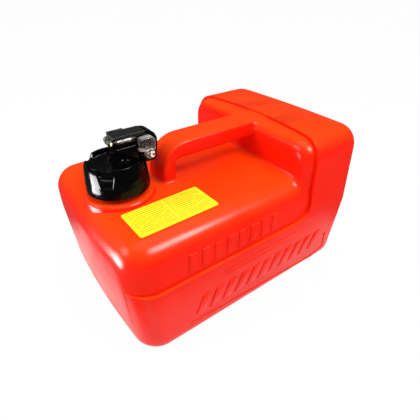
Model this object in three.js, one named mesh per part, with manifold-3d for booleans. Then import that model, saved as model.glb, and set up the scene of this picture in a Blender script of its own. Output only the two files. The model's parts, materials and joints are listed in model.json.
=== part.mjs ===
// Portable outboard fuel tank of about 12 litres: a blow-moulded red tank with a moulded carry
// handle, and a screw-on cap that holds the fuel outlet, its latch, a vent and a level gauge.
// Millimetres, +Z up. The origin is the middle of the footprint, on the surface that the tank
// stands on. +X points from the cap to the tall end, and -Y is the side with the label.
import * as THREE from 'three';
import { mergeVertices } from 'three/addons/utils/BufferGeometryUtils.js';
import Module from 'manifold-3d';

const wasm = await Module();
wasm.setup();

// Sizes of the moulded tank.
const tankLength = 355;
const tankWidth = 254;
const deckHeight = 160;
const tallEndRise = 50;
const tallEndHeight = deckHeight + tallEndRise;
const tankWall = 3;
const planCornerRadius = 30;
const endBow = 6;
const bottomEdgeRadius = 22;
const lowerDraft = 6;
const upperDraft = 5;
const topEdgeRadius = 26;
const deckEdgeRadius = 28;
const ledgeHeight = 106;
const ledgeInset = 4;
const endInset = 1.5;
const tallEndLength = 111.5;
const tallFrontFace = tankLength / 2 - tallEndLength;
const stepBehindFront = 13;
const stepAtSide = tallFrontFace + stepBehindFront;
const stepBow = 16;
const stepFillet = 18;
const tallFrontDrop = 4;
const tallFrontEdgeRadius = 15;

// Sizes of the moulded carry handle.
const handleWidth = 40;
const handlePost = 22;
const handleBar = 24;
const handleOuterCorner = 38;
const handleInnerCorner = 12;
const handleEdgeRadius = 10;
const handleIntoTallEnd = 30;
const handleFootDepth = 14;

// Sizes of the filler neck. The cap's axis is the neck's.
const neckFromEnd = 53.5;
const neckX = -tankLength / 2 + neckFromEnd;
const neckY = -3;
const bossRadius = 38;
const bossHeight = 5;
const neckHeight = 32;
const neckOuterRadius = 30;
const neckBoreRadius = 27;
const threadDepth = 2.2;
const threadPitch = 6.5;
const threadWidth = 3;
const threadCrestWidth = 1.2;
const threadTurns = 1.75;
const threadBelowRim = 2;

// Clearances between pieces.
const seatGap = 0.3;
const runningGap = 0.4;
const turnGap = 0.8;
const cutOver = 5;
const mergeDistance = 0.0001;

// Sizes of the screw ring that clamps the cap on.
const ringFootGap = 6;
const ringWall = 1.2;
const ringWallOverRim = 0.6;
const ringFlare = 1.2;
const ringLobeDepth = 1.8;
const ringLobeDraft = 1.4;
const ringLobeLean = 4.2;
const ringLipWidth = 3.6;
const ringLipThickness = 3;
const ringLobeRise = 2.8;
const ringLobeDrop = 17;
const ringLobeCount = 4;
const ringLobeTopShare = 0.6;
const ringLobeFootShare = 0.78;
const ringLobeTurnDegrees = -86;

// Sizes of the gasket and the cap's main moulding.
const gasketThickness = 2.5;
const gasketWidth = 5;
const flangeThickness = 3.8;
const discRise = 1.9;
const plugDepth = 6;
const socketDepth = 7;
const socketWall = 2;
const passageDrop = 2.6;
const towerLeft = -2;
const towerRight = 25.2;
const towerNear = -11;
const towerFar = 9;
const towerHeight = 17;

// Sizes of the outlet latch, its pin and its spring.
const pinRadius = 1;
const pinRise = 6.6;
const pinHeadRadius = 2.2;
const pinHeadLength = 1.8;
const earThickness = 2.4;
const earRadius = 3;
const latchOverTower = 6.8;
const latchThickness = 4;
const latchReach = 22.5;
const latchRight = 38.5;
const latchKnuckle = 2;
const latchHookThickness = 2.2;
const latchHookDrop = 4;
const latchHookHalfWidth = 5;
const latchRibLength = 19;
const latchRibHeight = 1.5;
const latchRibWidth = 3;
const latchSpringWire = 0.35;
const latchSpringCoil = 1.75;
const latchSpringPitch = 1.05;
const latchSpringTurns = 15;
const latchSpringLeg = 1.9;

// Sizes of the fuel outlet on the far side of the cap.
const outletX = 6;
const outletRise = 12.6;
const outletSeatDepth = 6;
const outletRadius = 4;
const outletLength = 20;
const outletPassageRadius = 1.6;
const outletValveBore = 2.4;
const outletValveRoom = 13;
const outletMouthRadius = 1.3;
const outletMouthLength = 2;
const outletGrooveDepth = 1.2;
const outletGrooveWidth = 2.6;
const outletGrooveFromTip = 6;
const nutRadius = 6.6;
const nutThickness = 4;
const sealWire = 0.9;
const valveHeadRadius = 1.9;
const valveHeadLength = 3;
const valveStemRadius = 0.8;
const valveTipInset = 0.4;
const valveSpringWire = 0.35;
const valveSpringCoil = 1.5;
const valveSpringTurns = 5;

// Sizes of the level gauge beside the cap.
const hoodNear = -3.5;
const hoodFar = 15;
const hoodRight = 53.5;
const hoodRise = 27;
const hoodDrop = 15.3;
const hoodShoulder = 14;
const hoodToHandle = 1.9;
const linkFloor = 1.2;
const linkRoom = 4.2;
const drumX = 43.5;
const drumY = 5;
const drumRadius = 5;
const drumShaftRadius = 1.2;
const drumPivotRadius = 0.9;
const drumPivotLength = 1.6;
const drumFloor = 3;
const stemRadius = 1.5;
const crankReach = 4;
const crankRadius = 2.4;
const crankThickness = 1.4;
const crankPinRadius = 1;
const crankTurnDegrees = 90;
const linkRadius = 2;
const linkThickness = 1.4;
const lensDepth = 9;
const lensWall = 1.4;
const lensRight = 47;
const lensHeight = 17;
const lensStemOverRing = 1.2;
const lensStemWidth = 10;
const lensStemDrop = 9;
const lensCorner = 4;

// Sizes of the vent screw.
const ventX = 4;
const ventY = -19.4;
const ventRadius = 7.6;
const ventHeight = 4;
const ventGripDepth = 0.8;
const ventGripCount = 12;
const ventStemRadius = 2;
const ventStemLength = 5;
const ventSealRadius = 4;
const ventSealThickness = 1;
const ventHoleRadius = 0.8;

// Sizes of what hangs in the tank: the float with its strip and guide, and the pick-up pipe.
const stripX = 18;
const stripWidth = 5;
const stripThickness = 0.9;
const stripSteps = 20;
const rodX = 6;
const rodRadius = 1.6;
const rodCollarRadius = 3;
const rodCollarHeight = 2;
const footAboveFloor = 7;
const footThickness = 3;
const footRadius = 4.5;
const floatRadius = 11.5;
const floatHeight = 24;
const floatBelowDeck = 2.7;
const floatSlotDepth = 1.5;
const floatSlotPlay = 0.5;
const pipeX = -15;
const pipeRadius = 4;
const pipeBore = 2.9;
const pipeAboveFloor = 14;
const strainerRadius = 7.5;
const strainerHeight = 14;
const strainerCollar = 8;
const strainerWall = 1.6;

// Sizes of the label on the deck. It fills the flat strip between the neck's boss and the side.
const labelLength = 98;
const labelThickness = 0.5;
const labelFromEnd = 82.5;
const labelFromSide = 32.5;
const labelFromBoss = 1.5;
const labelNear = -tankWidth / 2 + labelFromSide;
const labelFar = neckY - bossRadius - bossHeight - labelFromBoss;
const labelWidth = labelFar - labelNear;
const labelX = -tankLength / 2 + labelFromEnd;
const labelY = (labelNear + labelFar) / 2;
const labelTurnDegrees = 1;
const labelCorner = 2.5;

// Facet counts for round shapes.
const cornerFacets = 6;
const edgeFacets = 4;
const roundFacets = 48;
const smallFacets = 20;
const pinFacets = 12;
const threadFacets = 20;
const curlSteps = 8;
const wireSides = 5;
const hexFacets = 6;

const degrees = Math.PI / 180;

// Turns a closed geometry into a solid that can be joined and cut.
function solid(geometry) {
  const bare = geometry.clone();
  bare.deleteAttribute('normal');
  bare.deleteAttribute('uv');
  const merged = mergeVertices(bare, mergeDistance);
  const corners = Array.from(merged.index.array);
  const faces = [];
  for (let i = 0; i < corners.length; i += 3) {
    const face = corners.slice(i, i + 3);
    if (new Set(face).size === 3) faces.push(...face);
  }
  return new wasm.Manifold(new wasm.Mesh({
    numProp: 3,
    vertProperties: new Float32Array(merged.attributes.position.array),
    triVerts: new Uint32Array(faces),
  }));
}

// Turns a solid back into a geometry with flat faces.
function shape(body) {
  const mesh = body.getMesh();
  const geometry = new THREE.BufferGeometry();
  geometry.setAttribute('position', new THREE.BufferAttribute(new Float32Array(mesh.vertProperties), 3));
  geometry.setIndex(new THREE.BufferAttribute(new Uint32Array(mesh.triVerts), 1));
  const flat = geometry.toNonIndexed();
  flat.computeVertexNormals();
  return flat;
}

function joined(...bodies) {
  return bodies.reduce((whole, body) => whole.add(body));
}

// The flat ends of a loft, as triangles of the end's own points.
function endFaces(ring) {
  const middle = ring.reduce((sum, p) => sum.add(p), new THREE.Vector3()).divideScalar(ring.length);
  const normal = new THREE.Vector3();
  ring.forEach((p, i) => {
    const next = ring[(i + 1) % ring.length];
    normal.add(p.clone().sub(middle).cross(next.clone().sub(middle)));
  });
  const u = ring[1].clone().sub(ring[0]).normalize();
  const v = normal.normalize().cross(u);
  const flat = ring.map((p) => {
    const arm = p.clone().sub(middle);
    return new THREE.Vector2(arm.dot(u), arm.dot(v));
  });
  return THREE.ShapeUtils.triangulateShape(flat, []);
}

// A closed skin through rings of equal point counts, from the first end to the last. Seen from
// the last end, the rings run anticlockwise.
function loft(rings) {
  const count = rings[0].length;
  const faces = [];
  for (let r = 0; r + 1 < rings.length; r += 1) {
    for (let i = 0; i < count; i += 1) {
      const a = r * count + i;
      const b = r * count + ((i + 1) % count);
      faces.push(a, b, b + count, a, b + count, a + count);
    }
  }
  const last = (rings.length - 1) * count;
  for (const [a, b, c] of endFaces(rings[0])) faces.push(a, c, b);
  for (const [a, b, c] of endFaces(rings[rings.length - 1])) faces.push(last + a, last + b, last + c);
  const places = rings.flat().flatMap((p) => [p.x, p.y, p.z]);
  const geometry = new THREE.BufferGeometry();
  geometry.setAttribute('position', new THREE.Float32BufferAttribute(places, 3));
  geometry.setIndex(faces);
  return geometry;
}

// A solid box between two corners.
function box(x0, x1, y0, y1, z0, z1) {
  const geometry = new THREE.BoxGeometry(x1 - x0, y1 - y0, z1 - z0);
  return solid(geometry.translate((x0 + x1) / 2, (y0 + y1) / 2, (z0 + z1) / 2));
}

// A solid turned about the Z axis from [radius, height] pairs. They run anticlockwise and either
// start and end on the axis or close on themselves.
function turned(pairs, facets = roundFacets) {
  const points = pairs.map(([radius, height]) => new THREE.Vector2(radius, height));
  return solid(new THREE.LatheGeometry(points, facets).rotateX(Math.PI / 2));
}

// A round bar between two ends, upright or along X or Y.
function upright(radius, x, y, z0, z1, facets = smallFacets) {
  const geometry = new THREE.CylinderGeometry(radius, radius, z1 - z0, facets);
  return solid(geometry.rotateX(Math.PI / 2).translate(x, y, (z0 + z1) / 2));
}

function alongX(radius, x0, x1, y, z, facets = smallFacets) {
  const geometry = new THREE.CylinderGeometry(radius, radius, x1 - x0, facets);
  return solid(geometry.rotateZ(Math.PI / 2).translate((x0 + x1) / 2, y, z));
}

function alongY(radius, x, y0, y1, z, facets = smallFacets) {
  const geometry = new THREE.CylinderGeometry(radius, radius, y1 - y0, facets);
  return solid(geometry.translate(x, (y0 + y1) / 2, z));
}

// A flat bar with round ends between two places, seen from above.
function bar(from, to, radius, z0, z1) {
  const heading = Math.atan2(to.y - from.y, to.x - from.x);
  const outline = new THREE.Shape();
  outline.absarc(to.x, to.y, radius, heading - Math.PI / 2, heading + Math.PI / 2, false);
  outline.absarc(from.x, from.y, radius, heading + Math.PI / 2, heading + Math.PI * 1.5, false);
  const geometry = new THREE.ExtrudeGeometry(outline, {
    depth: z1 - z0,
    bevelEnabled: false,
    curveSegments: cornerFacets,
  });
  return solid(geometry.translate(0, 0, z0));
}

// A flat outline in X and Z, given a thickness along Y.
function slab(outline, y0, y1) {
  const geometry = new THREE.ExtrudeGeometry(outline, {
    depth: y1 - y0,
    bevelEnabled: false,
    curveSegments: cornerFacets,
  });
  return solid(geometry.rotateX(Math.PI / 2).translate(0, y1, 0));
}

// A rectangle with round corners, as a flat outline.
function roundedOutline(x0, x1, y0, y1, radius) {
  const outline = new THREE.Shape();
  outline.absarc(x1 - radius, y0 + radius, radius, -Math.PI / 2, 0, false);
  outline.absarc(x1 - radius, y1 - radius, radius, 0, Math.PI / 2, false);
  outline.absarc(x0 + radius, y1 - radius, radius, Math.PI / 2, Math.PI, false);
  outline.absarc(x0 + radius, y0 + radius, radius, Math.PI, Math.PI * 1.5, false);
  return outline;
}

// A round wire through a list of points, as one unbroken tube. The first and last stretch count
// as its ends, and side is a direction that the wire never runs along.
function wire(points, radius, side, name) {
  const rings = points.map((point, i) => {
    const before = points[Math.max(i - 1, 0)];
    const after = points[Math.min(i + 1, points.length - 1)];
    const along = after.clone().sub(before).normalize();
    const across = side.clone().addScaledVector(along, -side.dot(along)).normalize();
    const up = along.clone().cross(across);
    const ring = [];
    for (let k = 0; k < wireSides; k += 1) {
      const angle = (k / wireSides) * Math.PI * 2;
      const spoke = across.clone().multiplyScalar(radius * Math.cos(angle));
      ring.push(point.clone().add(spoke).addScaledVector(up, radius * Math.sin(angle)));
    }
    return ring;
  });
  let least = Infinity;
  for (let i = 0; i < points.length; i += 1) {
    for (let j = i + curlSteps / 2; j < points.length; j += 1) {
      least = Math.min(least, points[i].distanceTo(points[j]) - 2 * radius);
    }
  }
  console.log(`${name}: least gap to itself ${least.toFixed(2)} mm`);
  return loft(rings);
}

// How far a round edge has drawn in, for a depth below the end of the round.
function drawnIn(radius, depth) {
  const reach = Math.min(Math.max(depth, 0), radius);
  return radius - Math.sqrt(radius * radius - (radius - reach) * (radius - reach));
}

// One level of the tank's plan: a rectangle with round corners and ends that bow outwards.
function planRing(halfLength, halfWidth, radius, height) {
  const ring = [];
  const corners = [[1, 1, 0], [-1, 1, 1], [-1, -1, 2], [1, -1, 3]];
  for (const [sideX, sideY, quarter] of corners) {
    for (let i = 0; i <= cornerFacets; i += 1) {
      const angle = (quarter + i / cornerFacets) * Math.PI / 2;
      ring.push(new THREE.Vector3(
        sideX * (halfLength - radius) + radius * Math.cos(angle),
        sideY * (halfWidth - radius) + radius * Math.sin(angle),
        height,
      ));
    }
    if (quarter % 2 === 1) {
      const reach = halfWidth - radius;
      const x = sideX * halfLength;
      for (const share of [0.5, 0, -0.5]) ring.push(new THREE.Vector3(x, sideY * reach * share, height));
    }
  }
  for (const point of ring) {
    const bow = endBow * (point.y / halfWidth) ** 2;
    point.x -= Math.sign(point.x) * bow * Math.min(Math.abs(point.x) / halfLength, 1);
  }
  return ring;
}

// The tank's rounded outside, or its inside when it is shrunk by the wall.
function envelope(top, topRadius, insetX, insetY, shrink) {
  const floor = shrink;
  const ceiling = top - shrink;
  const lowRound = bottomEdgeRadius - shrink;
  const highRound = topRadius - shrink;
  const levels = [];
  for (let i = 0; i <= edgeFacets; i += 1) {
    levels.push(floor + lowRound * (1 - Math.cos((i / edgeFacets) * Math.PI / 2)));
  }
  levels.push(ledgeHeight);
  for (let i = 0; i <= edgeFacets; i += 1) {
    levels.push(ceiling - highRound + highRound * Math.sin((i / edgeFacets) * Math.PI / 2));
  }
  return solid(loft(levels.map((z) => {
    const low = lowerDraft * Math.max(1 - z / ledgeHeight, 0);
    const high = upperDraft * Math.max((z - ledgeHeight) / (tallEndHeight - ledgeHeight), 0);
    const round = drawnIn(lowRound, z - floor) + drawnIn(highRound, ceiling - z);
    const inset = shrink + low + round;
    return planRing(
      tankLength / 2 - insetX - inset,
      tankWidth / 2 - insetY - inset - high,
      Math.max(planCornerRadius - inset / 2, planCornerRadius / 3),
      z,
    );
  })));
}

// Where the tall end's step lies for a place across the tank.
function stepAt(y, shrink) {
  return stepAtSide + shrink + stepBow * (1 - (2 * y / tankWidth) ** 2);
}

// Everything behind the step, with a round foot where the step turns into the ledge.
function behindStep(shrink) {
  const halfWidth = tankWidth / 2 + cutOver;
  const foot = ledgeHeight - shrink;
  const levels = [foot - cutOver, foot];
  for (let i = 1; i <= edgeFacets; i += 1) levels.push(foot + stepFillet * (i / edgeFacets) ** 2);
  levels.push(tallEndHeight + cutOver);
  const spans = 8;
  return solid(loft(levels.map((z) => {
    const reach = drawnIn(stepFillet, z - foot);
    const ring = [];
    for (let i = 0; i <= spans; i += 1) {
      const y = halfWidth * (1 - 2 * i / spans);
      ring.push(new THREE.Vector3(stepAt(Math.min(Math.abs(y), tankWidth / 2), shrink) - reach, y, z));
    }
    ring.push(new THREE.Vector3(tankLength / 2 + cutOver, -halfWidth, z));
    ring.push(new THREE.Vector3(tankLength / 2 + cutOver, halfWidth, z));
    return ring;
  })));
}

// The lower front part of the tall end, with round edges towards the handle.
function tallFront(shrink) {
  const x0 = tallFrontFace + shrink;
  const x1 = stepAtSide + stepBow + cutOver;
  const top = tallEndHeight - tallFrontDrop - shrink;
  const radius = tallFrontEdgeRadius - shrink;
  const side = tankWidth / 2 - ledgeInset - upperDraft * 0.75 - shrink;
  const foot = deckHeight - deckEdgeRadius;
  const upperRound = topEdgeRadius - shrink;
  const rings = [];
  for (let i = 0; i <= edgeFacets + 1; i += 1) {
    const x = i > edgeFacets ? x1 : x0 + radius * (1 - Math.cos((i / edgeFacets) * Math.PI / 2));
    const inset = drawnIn(radius, x - x0);
    const corner = Math.max(upperRound - inset / 2, radius / 2);
    const ring = [];
    for (const sideY of [-1, 1]) {
      const arc = [];
      for (let k = 0; k <= cornerFacets; k += 1) {
        const angle = (k / cornerFacets) * Math.PI / 2;
        arc.push(new THREE.Vector3(
          x,
          sideY * (side - inset - corner + corner * Math.cos(angle)),
          top - inset - corner + corner * Math.sin(angle),
        ));
      }
      if (sideY < 0) ring.push(new THREE.Vector3(x, -side + inset, foot), ...arc);
      else ring.push(...arc.reverse(), new THREE.Vector3(x, side - inset, foot));
    }
    rings.push(ring.reverse());
  }
  return solid(loft(rings));
}

// The tank without its handle and neck.
function tankHull(shrink) {
  const proud = envelope(tallEndHeight, topEdgeRadius, 0, 0, shrink);
  const low = box(-tankLength, tankLength, -tankWidth, tankWidth, -cutOver, ledgeHeight - shrink);
  const deck = envelope(deckHeight, deckEdgeRadius, endInset, ledgeInset, shrink);
  const deckRight = stepAtSide + stepBow + cutOver;
  const deckEnd = box(-tankLength, deckRight, -tankWidth, tankWidth, ledgeHeight - cutOver, tallEndHeight);
  return joined(
    proud.intersect(joined(low, behindStep(shrink))),
    deck.intersect(deckEnd),
    tallFront(shrink),
  );
}

// The handle: a post that rises from the deck and a bar that runs back into the tall end.
function handle(shrink) {
  const left = handleLeft + shrink;
  const top = tallEndHeight - shrink;
  const postRight = handleLeft + handlePost - shrink;
  const under = tallEndHeight - handleBar + shrink;
  const right = tallFrontFace + handleIntoTallEnd;
  const foot = deckHeight - handleFootDepth;
  const outer = handleOuterCorner - shrink;
  const inner = handleInnerCorner + shrink;
  const outline = new THREE.Shape();
  outline.moveTo(left, foot);
  outline.lineTo(postRight, foot);
  outline.lineTo(postRight, under - inner);
  outline.absarc(postRight + inner, under - inner, inner, Math.PI, Math.PI / 2, true);
  outline.lineTo(right, under);
  outline.lineTo(right, top);
  outline.lineTo(left + outer, top);
  outline.absarc(left + outer, top - outer, outer, Math.PI / 2, Math.PI, false);
  const round = handleEdgeRadius - shrink;
  const geometry = new THREE.ExtrudeGeometry(outline, {
    depth: handleWidth - 2 * handleEdgeRadius,
    curveSegments: cornerFacets,
    bevelThickness: round,
    bevelSize: round,
    bevelOffset: -round,
    bevelSegments: edgeFacets - 1,
  });
  return solid(geometry.rotateX(Math.PI / 2).translate(0, handleWidth / 2 - handleEdgeRadius, 0));
}

const rimHeight = deckHeight + neckHeight;

// The neck's raised thread, a ridge that winds up from below the rim.
function neckThread() {
  const steps = Math.round(threadTurns * threadFacets);
  const root = neckOuterRadius - threadDepth / 2;
  const crest = neckOuterRadius + threadDepth;
  const start = rimHeight - threadBelowRim - threadWidth / 2 - threadTurns * threadPitch;
  const rings = [];
  for (let i = 0; i <= steps; i += 1) {
    const angle = (i / threadFacets) * Math.PI * 2;
    const z = start + threadPitch * (i / threadFacets);
    const place = (radius, height) => new THREE.Vector3(
      neckX + radius * Math.cos(angle),
      neckY + radius * Math.sin(angle),
      z + height,
    );
    rings.push([
      place(root, -threadWidth / 2),
      place(root, threadWidth / 2),
      place(crest, threadCrestWidth / 2),
      place(crest, -threadCrestWidth / 2),
    ]);
  }
  return solid(loft(rings));
}

// The blow-moulded tank, hollow, with its handle, boss and threaded neck.
function tankBody() {
  const bossFoot = deckHeight - tankWall;
  const boss = turned([
    [0, bossFoot], [bossRadius + bossHeight, bossFoot], [bossRadius, deckHeight + bossHeight / 2],
    [bossRadius - bossHeight / 2, deckHeight + bossHeight], [0, deckHeight + bossHeight],
  ]).translate([neckX, neckY, 0]);
  const neck = upright(neckOuterRadius, neckX, neckY, bossFoot, rimHeight, roundFacets);
  const bore = upright(neckBoreRadius, neckX, neckY, bossFoot - cutOver, rimHeight + cutOver, roundFacets);
  const outside = joined(tankHull(0), handle(0), boss, neck, neckThread());
  return outside.subtract(joined(tankHull(tankWall), handle(tankWall), bore));
}

// The sticker on the deck.
function label() {
  const halfLength = labelLength / 2;
  const halfWidth = labelWidth / 2;
  const outline = roundedOutline(-halfLength, halfLength, -halfWidth, halfWidth, labelCorner);
  return new THREE.ExtrudeGeometry(outline, {
    depth: labelThickness,
    bevelEnabled: false,
    curveSegments: edgeFacets,
  });
}

// Heights in the cap's stack, from the neck's rim up, and the ring's radii. From here on, places
// in X and Y are measured from the neck's axis.
const gasketFoot = rimHeight + seatGap;
const flangeFoot = gasketFoot + gasketThickness + seatGap;
const flangeTop = flangeFoot + flangeThickness;
const discTop = flangeTop + discRise;
const threadCrest = neckOuterRadius + threadDepth;
const ringBore = threadCrest + runningGap;
const ringOuter = ringBore + ringWall;
const lobeOuter = ringOuter + ringLobeDepth;
const lobeAtLip = lobeOuter - ringLobeDraft;
const lobeAtTop = lobeOuter - ringLobeLean;
const lipBore = ringBore - ringLipWidth;
const ringFoot = deckHeight + bossHeight + ringFootGap;
const lipFoot = flangeTop + seatGap;
const lipTop = lipFoot + ringLipThickness;
const lobeTop = lipTop + ringLobeRise;
const lobeFoot = lipTop - ringLobeDrop;
const overRing = lobeTop + turnGap;
const discRadius = lipBore - runningGap;
const plugFoot = flangeFoot - plugDepth;
const towerTop = discTop + towerHeight;

// One grip lobe of the ring: a finger that narrows and leans in towards its top. Above the cap's
// flange it grows inwards to the lip that holds the flange down.
function ringLobe(middle) {
  const rise = (z) => (z - lobeFoot) / (lobeTop - lobeFoot);
  const arc = (radius, z) => {
    const share = ringLobeFootShare + (ringLobeTopShare - ringLobeFootShare) * rise(z);
    const half = share * Math.PI / ringLobeCount;
    const points = [];
    for (let i = 0; i <= cornerFacets; i += 1) {
      const angle = middle + half * (2 * i / cornerFacets - 1);
      points.push(new THREE.Vector3(radius * Math.cos(angle), radius * Math.sin(angle), z));
    }
    return points;
  };
  const lipSteps = [[lobeFoot, lobeOuter], [lipFoot, lobeAtLip], [lobeTop, lobeAtTop]];
  const finger = (levels, inner) => solid(loft(levels.map(([z, radius]) => [
    ...arc(radius, z),
    ...arc(inner, z).reverse(),
  ])));
  const post = finger(lipSteps.slice(0, 2), ringBore + seatGap);
  return post.add(finger(lipSteps.slice(1), lipBore));
}

// The screw ring: a skirt round the neck with a flared foot, and the grip lobes on it.
function capRing() {
  const wallTop = rimHeight + ringWallOverRim;
  const skirt = turned([
    [ringBore, ringFoot], [lobeOuter + ringFlare, ringFoot], [lobeOuter, lobeFoot],
    [ringOuter, lobeFoot], [ringOuter, wallTop], [ringBore, wallTop], [ringBore, ringFoot],
  ]);
  const lobes = [];
  for (let i = 0; i < ringLobeCount; i += 1) {
    lobes.push(ringLobe(ringLobeTurnDegrees * degrees + i * 2 * Math.PI / ringLobeCount));
  }
  return joined(skirt, ...lobes);
}

function gasket() {
  const inner = threadCrest - gasketWidth;
  const top = gasketFoot + gasketThickness;
  return turned([[inner, gasketFoot], [threadCrest, gasketFoot], [threadCrest, top], [inner, top], [inner, gasketFoot]]);
}

// Places in the cap that several pieces share.
const pinY = towerNear + earRadius;
const pinZ = towerTop + pinRise;
const latchLeft = towerLeft + earThickness + seatGap;
const latchNear = pinY + earRadius + seatGap;
const latchFoot = towerTop + latchOverTower;
const latchTop = latchFoot + latchThickness;
const passageZ = discTop - passageDrop;
const outletZ = discTop + outletRise;
const nutNear = towerFar + seatGap;
const outletNear = towerFar - outletSeatDepth + seatGap;
const outletTip = nutNear + nutThickness + outletLength;
const mouthNear = outletTip - outletMouthLength;
const ventSeat = discTop - ventStemLength;
const hoodLeft = towerRight + seatGap;
const hoodSide = lobeOuter + turnGap;
const hoodTop = discTop + hoodRise;
const hoodFoot = lobeTop - hoodDrop;
const hoodCorner = neckX + hoodRight;
const handleRoundAtHood = drawnIn(handleOuterCorner, tallEndHeight - hoodFoot);
const handleLeft = hoodCorner + hoodToHandle - handleRoundAtHood;
const lensFoot = overRing;
const lensBack = hoodNear - seatGap;
const lensLeft = hoodLeft;
const lensStemLeft = hoodSide - lensStemOverRing;
const lensStemRight = lensStemLeft + lensStemWidth;
const linkFoot = overRing + linkFloor;
const linkTop = linkFoot + linkRoom;
const stripAxis = new THREE.Vector2(stripX, 0);
const drumAxis = new THREE.Vector2(drumX, drumY);

// The hollow that the gauge's cranks and link move in, through the tower and the hood.
function linkHollow() {
  return bar(stripAxis, drumAxis, crankReach + linkRadius + turnGap, linkFoot, linkTop);
}

// The cap's main moulding: flange, plug and pipe socket below, and the outlet's tower above. The
// fuel runs from the socket through the disc and up the tower to the outlet.
function capHead() {
  const disc = turned([
    [0, plugFoot], [neckBoreRadius - runningGap, plugFoot], [neckBoreRadius - runningGap, flangeFoot],
    [ringBore - runningGap, flangeFoot], [ringBore - runningGap, flangeTop], [discRadius, flangeTop],
    [discRadius, discTop], [0, discTop],
  ]);
  const tower = box(towerLeft, towerRight, towerNear, towerFar, flangeTop, towerTop);
  const ears = [towerLeft, towerRight - earThickness].map((x) => {
    const web = box(x, x + earThickness, pinY - earRadius, pinY + earRadius, towerTop - earRadius, pinZ);
    return web.add(alongX(earRadius, x, x + earThickness, pinY, pinZ));
  });
  const socketRadius = pipeRadius + seatGap + socketWall;
  const outside = joined(
    disc,
    tower,
    ...ears,
    upright(socketRadius, pipeX, 0, plugFoot - socketDepth, flangeFoot),
  );
  const cuts = joined(
    upright(pipeRadius + seatGap, pipeX, 0, plugFoot - socketDepth - cutOver, plugFoot),
    upright(outletPassageRadius, pipeX, 0, plugFoot - seatGap, passageZ),
    alongX(outletPassageRadius, pipeX, outletX, 0, passageZ),
    upright(outletPassageRadius, outletX, 0, passageZ, outletZ),
    alongY(outletPassageRadius, outletX, 0, outletNear, outletZ),
    alongY(outletRadius + seatGap, outletX, outletNear - seatGap, towerFar + cutOver, outletZ),
    alongX(pinRadius + seatGap, towerLeft - cutOver, towerRight + cutOver, pinY, pinZ),
    upright(stemRadius + runningGap, stripX, 0, plugFoot - cutOver, linkFoot + cutOver / 2),
    upright(rodRadius + seatGap, rodX, 0, plugFoot - cutOver, flangeFoot),
    upright(ventStemRadius + runningGap, ventX, ventY, ventSeat - seatGap, discTop + cutOver),
    upright(ventHoleRadius, ventX, ventY, plugFoot - cutOver, ventSeat, pinFacets),
    linkHollow(),
  );
  return outside.subtract(cuts);
}

// The sprung latch over the outlet: a plate with a hook, hung on the pin by two knuckles.
function latchLever() {
  const far = pinY + latchReach;
  const plate = box(latchLeft, latchRight, latchNear, far, latchFoot, latchTop);
  const ribRight = latchLeft + latchRibLength;
  const rib = box(latchLeft, ribRight, far - latchRibWidth, far, latchFoot, latchTop + latchRibHeight);
  const hook = box(
    outletX - latchHookHalfWidth,
    outletX + latchHookHalfWidth,
    far - latchHookThickness,
    far,
    latchFoot - latchHookDrop,
    latchTop,
  );
  const knuckleLefts = [latchLeft, towerRight - earThickness - seatGap - latchKnuckle];
  const knuckles = knuckleLefts.map((x) => {
    const web = box(x, x + latchKnuckle, pinY, latchNear + latchKnuckle, pinZ, pinZ + earRadius);
    return web.add(alongX(earRadius, x, x + latchKnuckle, pinY, pinZ));
  });
  const bore = alongX(pinRadius + seatGap, towerLeft - cutOver, towerRight + cutOver, pinY, pinZ);
  return joined(plate, rib, hook, ...knuckles).subtract(bore);
}

function latchPin() {
  const headRight = towerLeft - seatGap;
  const headLeft = headRight - pinHeadLength;
  const shank = alongX(pinRadius, headLeft, towerRight + seatGap, pinY, pinZ);
  return shank.add(alongX(pinHeadRadius, headLeft, headRight, pinY, pinZ));
}

// The latch's torsion spring, wound round the pin between the knuckles. One leg stands under the
// latch's plate and the other bears on the plate's edge, which holds the hook down.
function latchSpring() {
  const start = latchLeft + latchKnuckle + seatGap + latchSpringWire;
  const lastStep = latchSpringTurns * curlSteps + curlSteps / 2;
  const points = [new THREE.Vector3(start, pinY + latchSpringLeg, pinZ - latchSpringCoil)];
  for (let i = 0; i <= lastStep; i += 1) {
    const angle = (i / curlSteps) * Math.PI * 2 - Math.PI / 2;
    points.push(new THREE.Vector3(
      start + latchSpringPitch * (i / curlSteps),
      pinY - latchSpringCoil * Math.cos(angle),
      pinZ + latchSpringCoil * Math.sin(angle),
    ));
  }
  const end = points[points.length - 1];
  points.push(new THREE.Vector3(end.x, pinY + latchSpringLeg, end.z));
  return wire(points, latchSpringWire, new THREE.Vector3(1, 0, 0), 'latch_spring');
}

// The metal outlet that the hose clips on to. Its bore widens into a room for the valve.
const valveSeatY = mouthNear - outletValveRoom;

function outletNipple() {
  const grooveFar = outletTip - outletGrooveFromTip;
  const grooveNear = grooveFar - outletGrooveWidth;
  const nut = new THREE.CylinderGeometry(nutRadius, nutRadius, nutThickness, hexFacets);
  const outside = joined(
    alongY(outletRadius, outletX, outletNear, grooveNear, outletZ),
    alongY(outletRadius - outletGrooveDepth, outletX, grooveNear - cutOver, grooveFar + outletGrooveWidth, outletZ),
    alongY(outletRadius, outletX, grooveFar, outletTip, outletZ),
    solid(nut.translate(outletX, nutNear + nutThickness / 2, outletZ)),
  );
  return outside.subtract(joined(
    alongY(outletPassageRadius, outletX, outletNear - cutOver, outletTip - cutOver, outletZ, pinFacets),
    alongY(outletValveBore, outletX, valveSeatY, mouthNear, outletZ),
    alongY(outletMouthRadius, outletX, mouthNear - cutOver, outletTip + cutOver, outletZ, pinFacets),
  ));
}

function outletSeal() {
  const radius = outletRadius - outletGrooveDepth + seatGap + sealWire;
  const middle = outletTip - outletGrooveFromTip - outletGrooveWidth / 2;
  const ring = new THREE.TorusGeometry(radius, sealWire, hexFacets, smallFacets);
  return solid(ring.rotateX(Math.PI / 2).translate(outletX, middle, outletZ));
}

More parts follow.
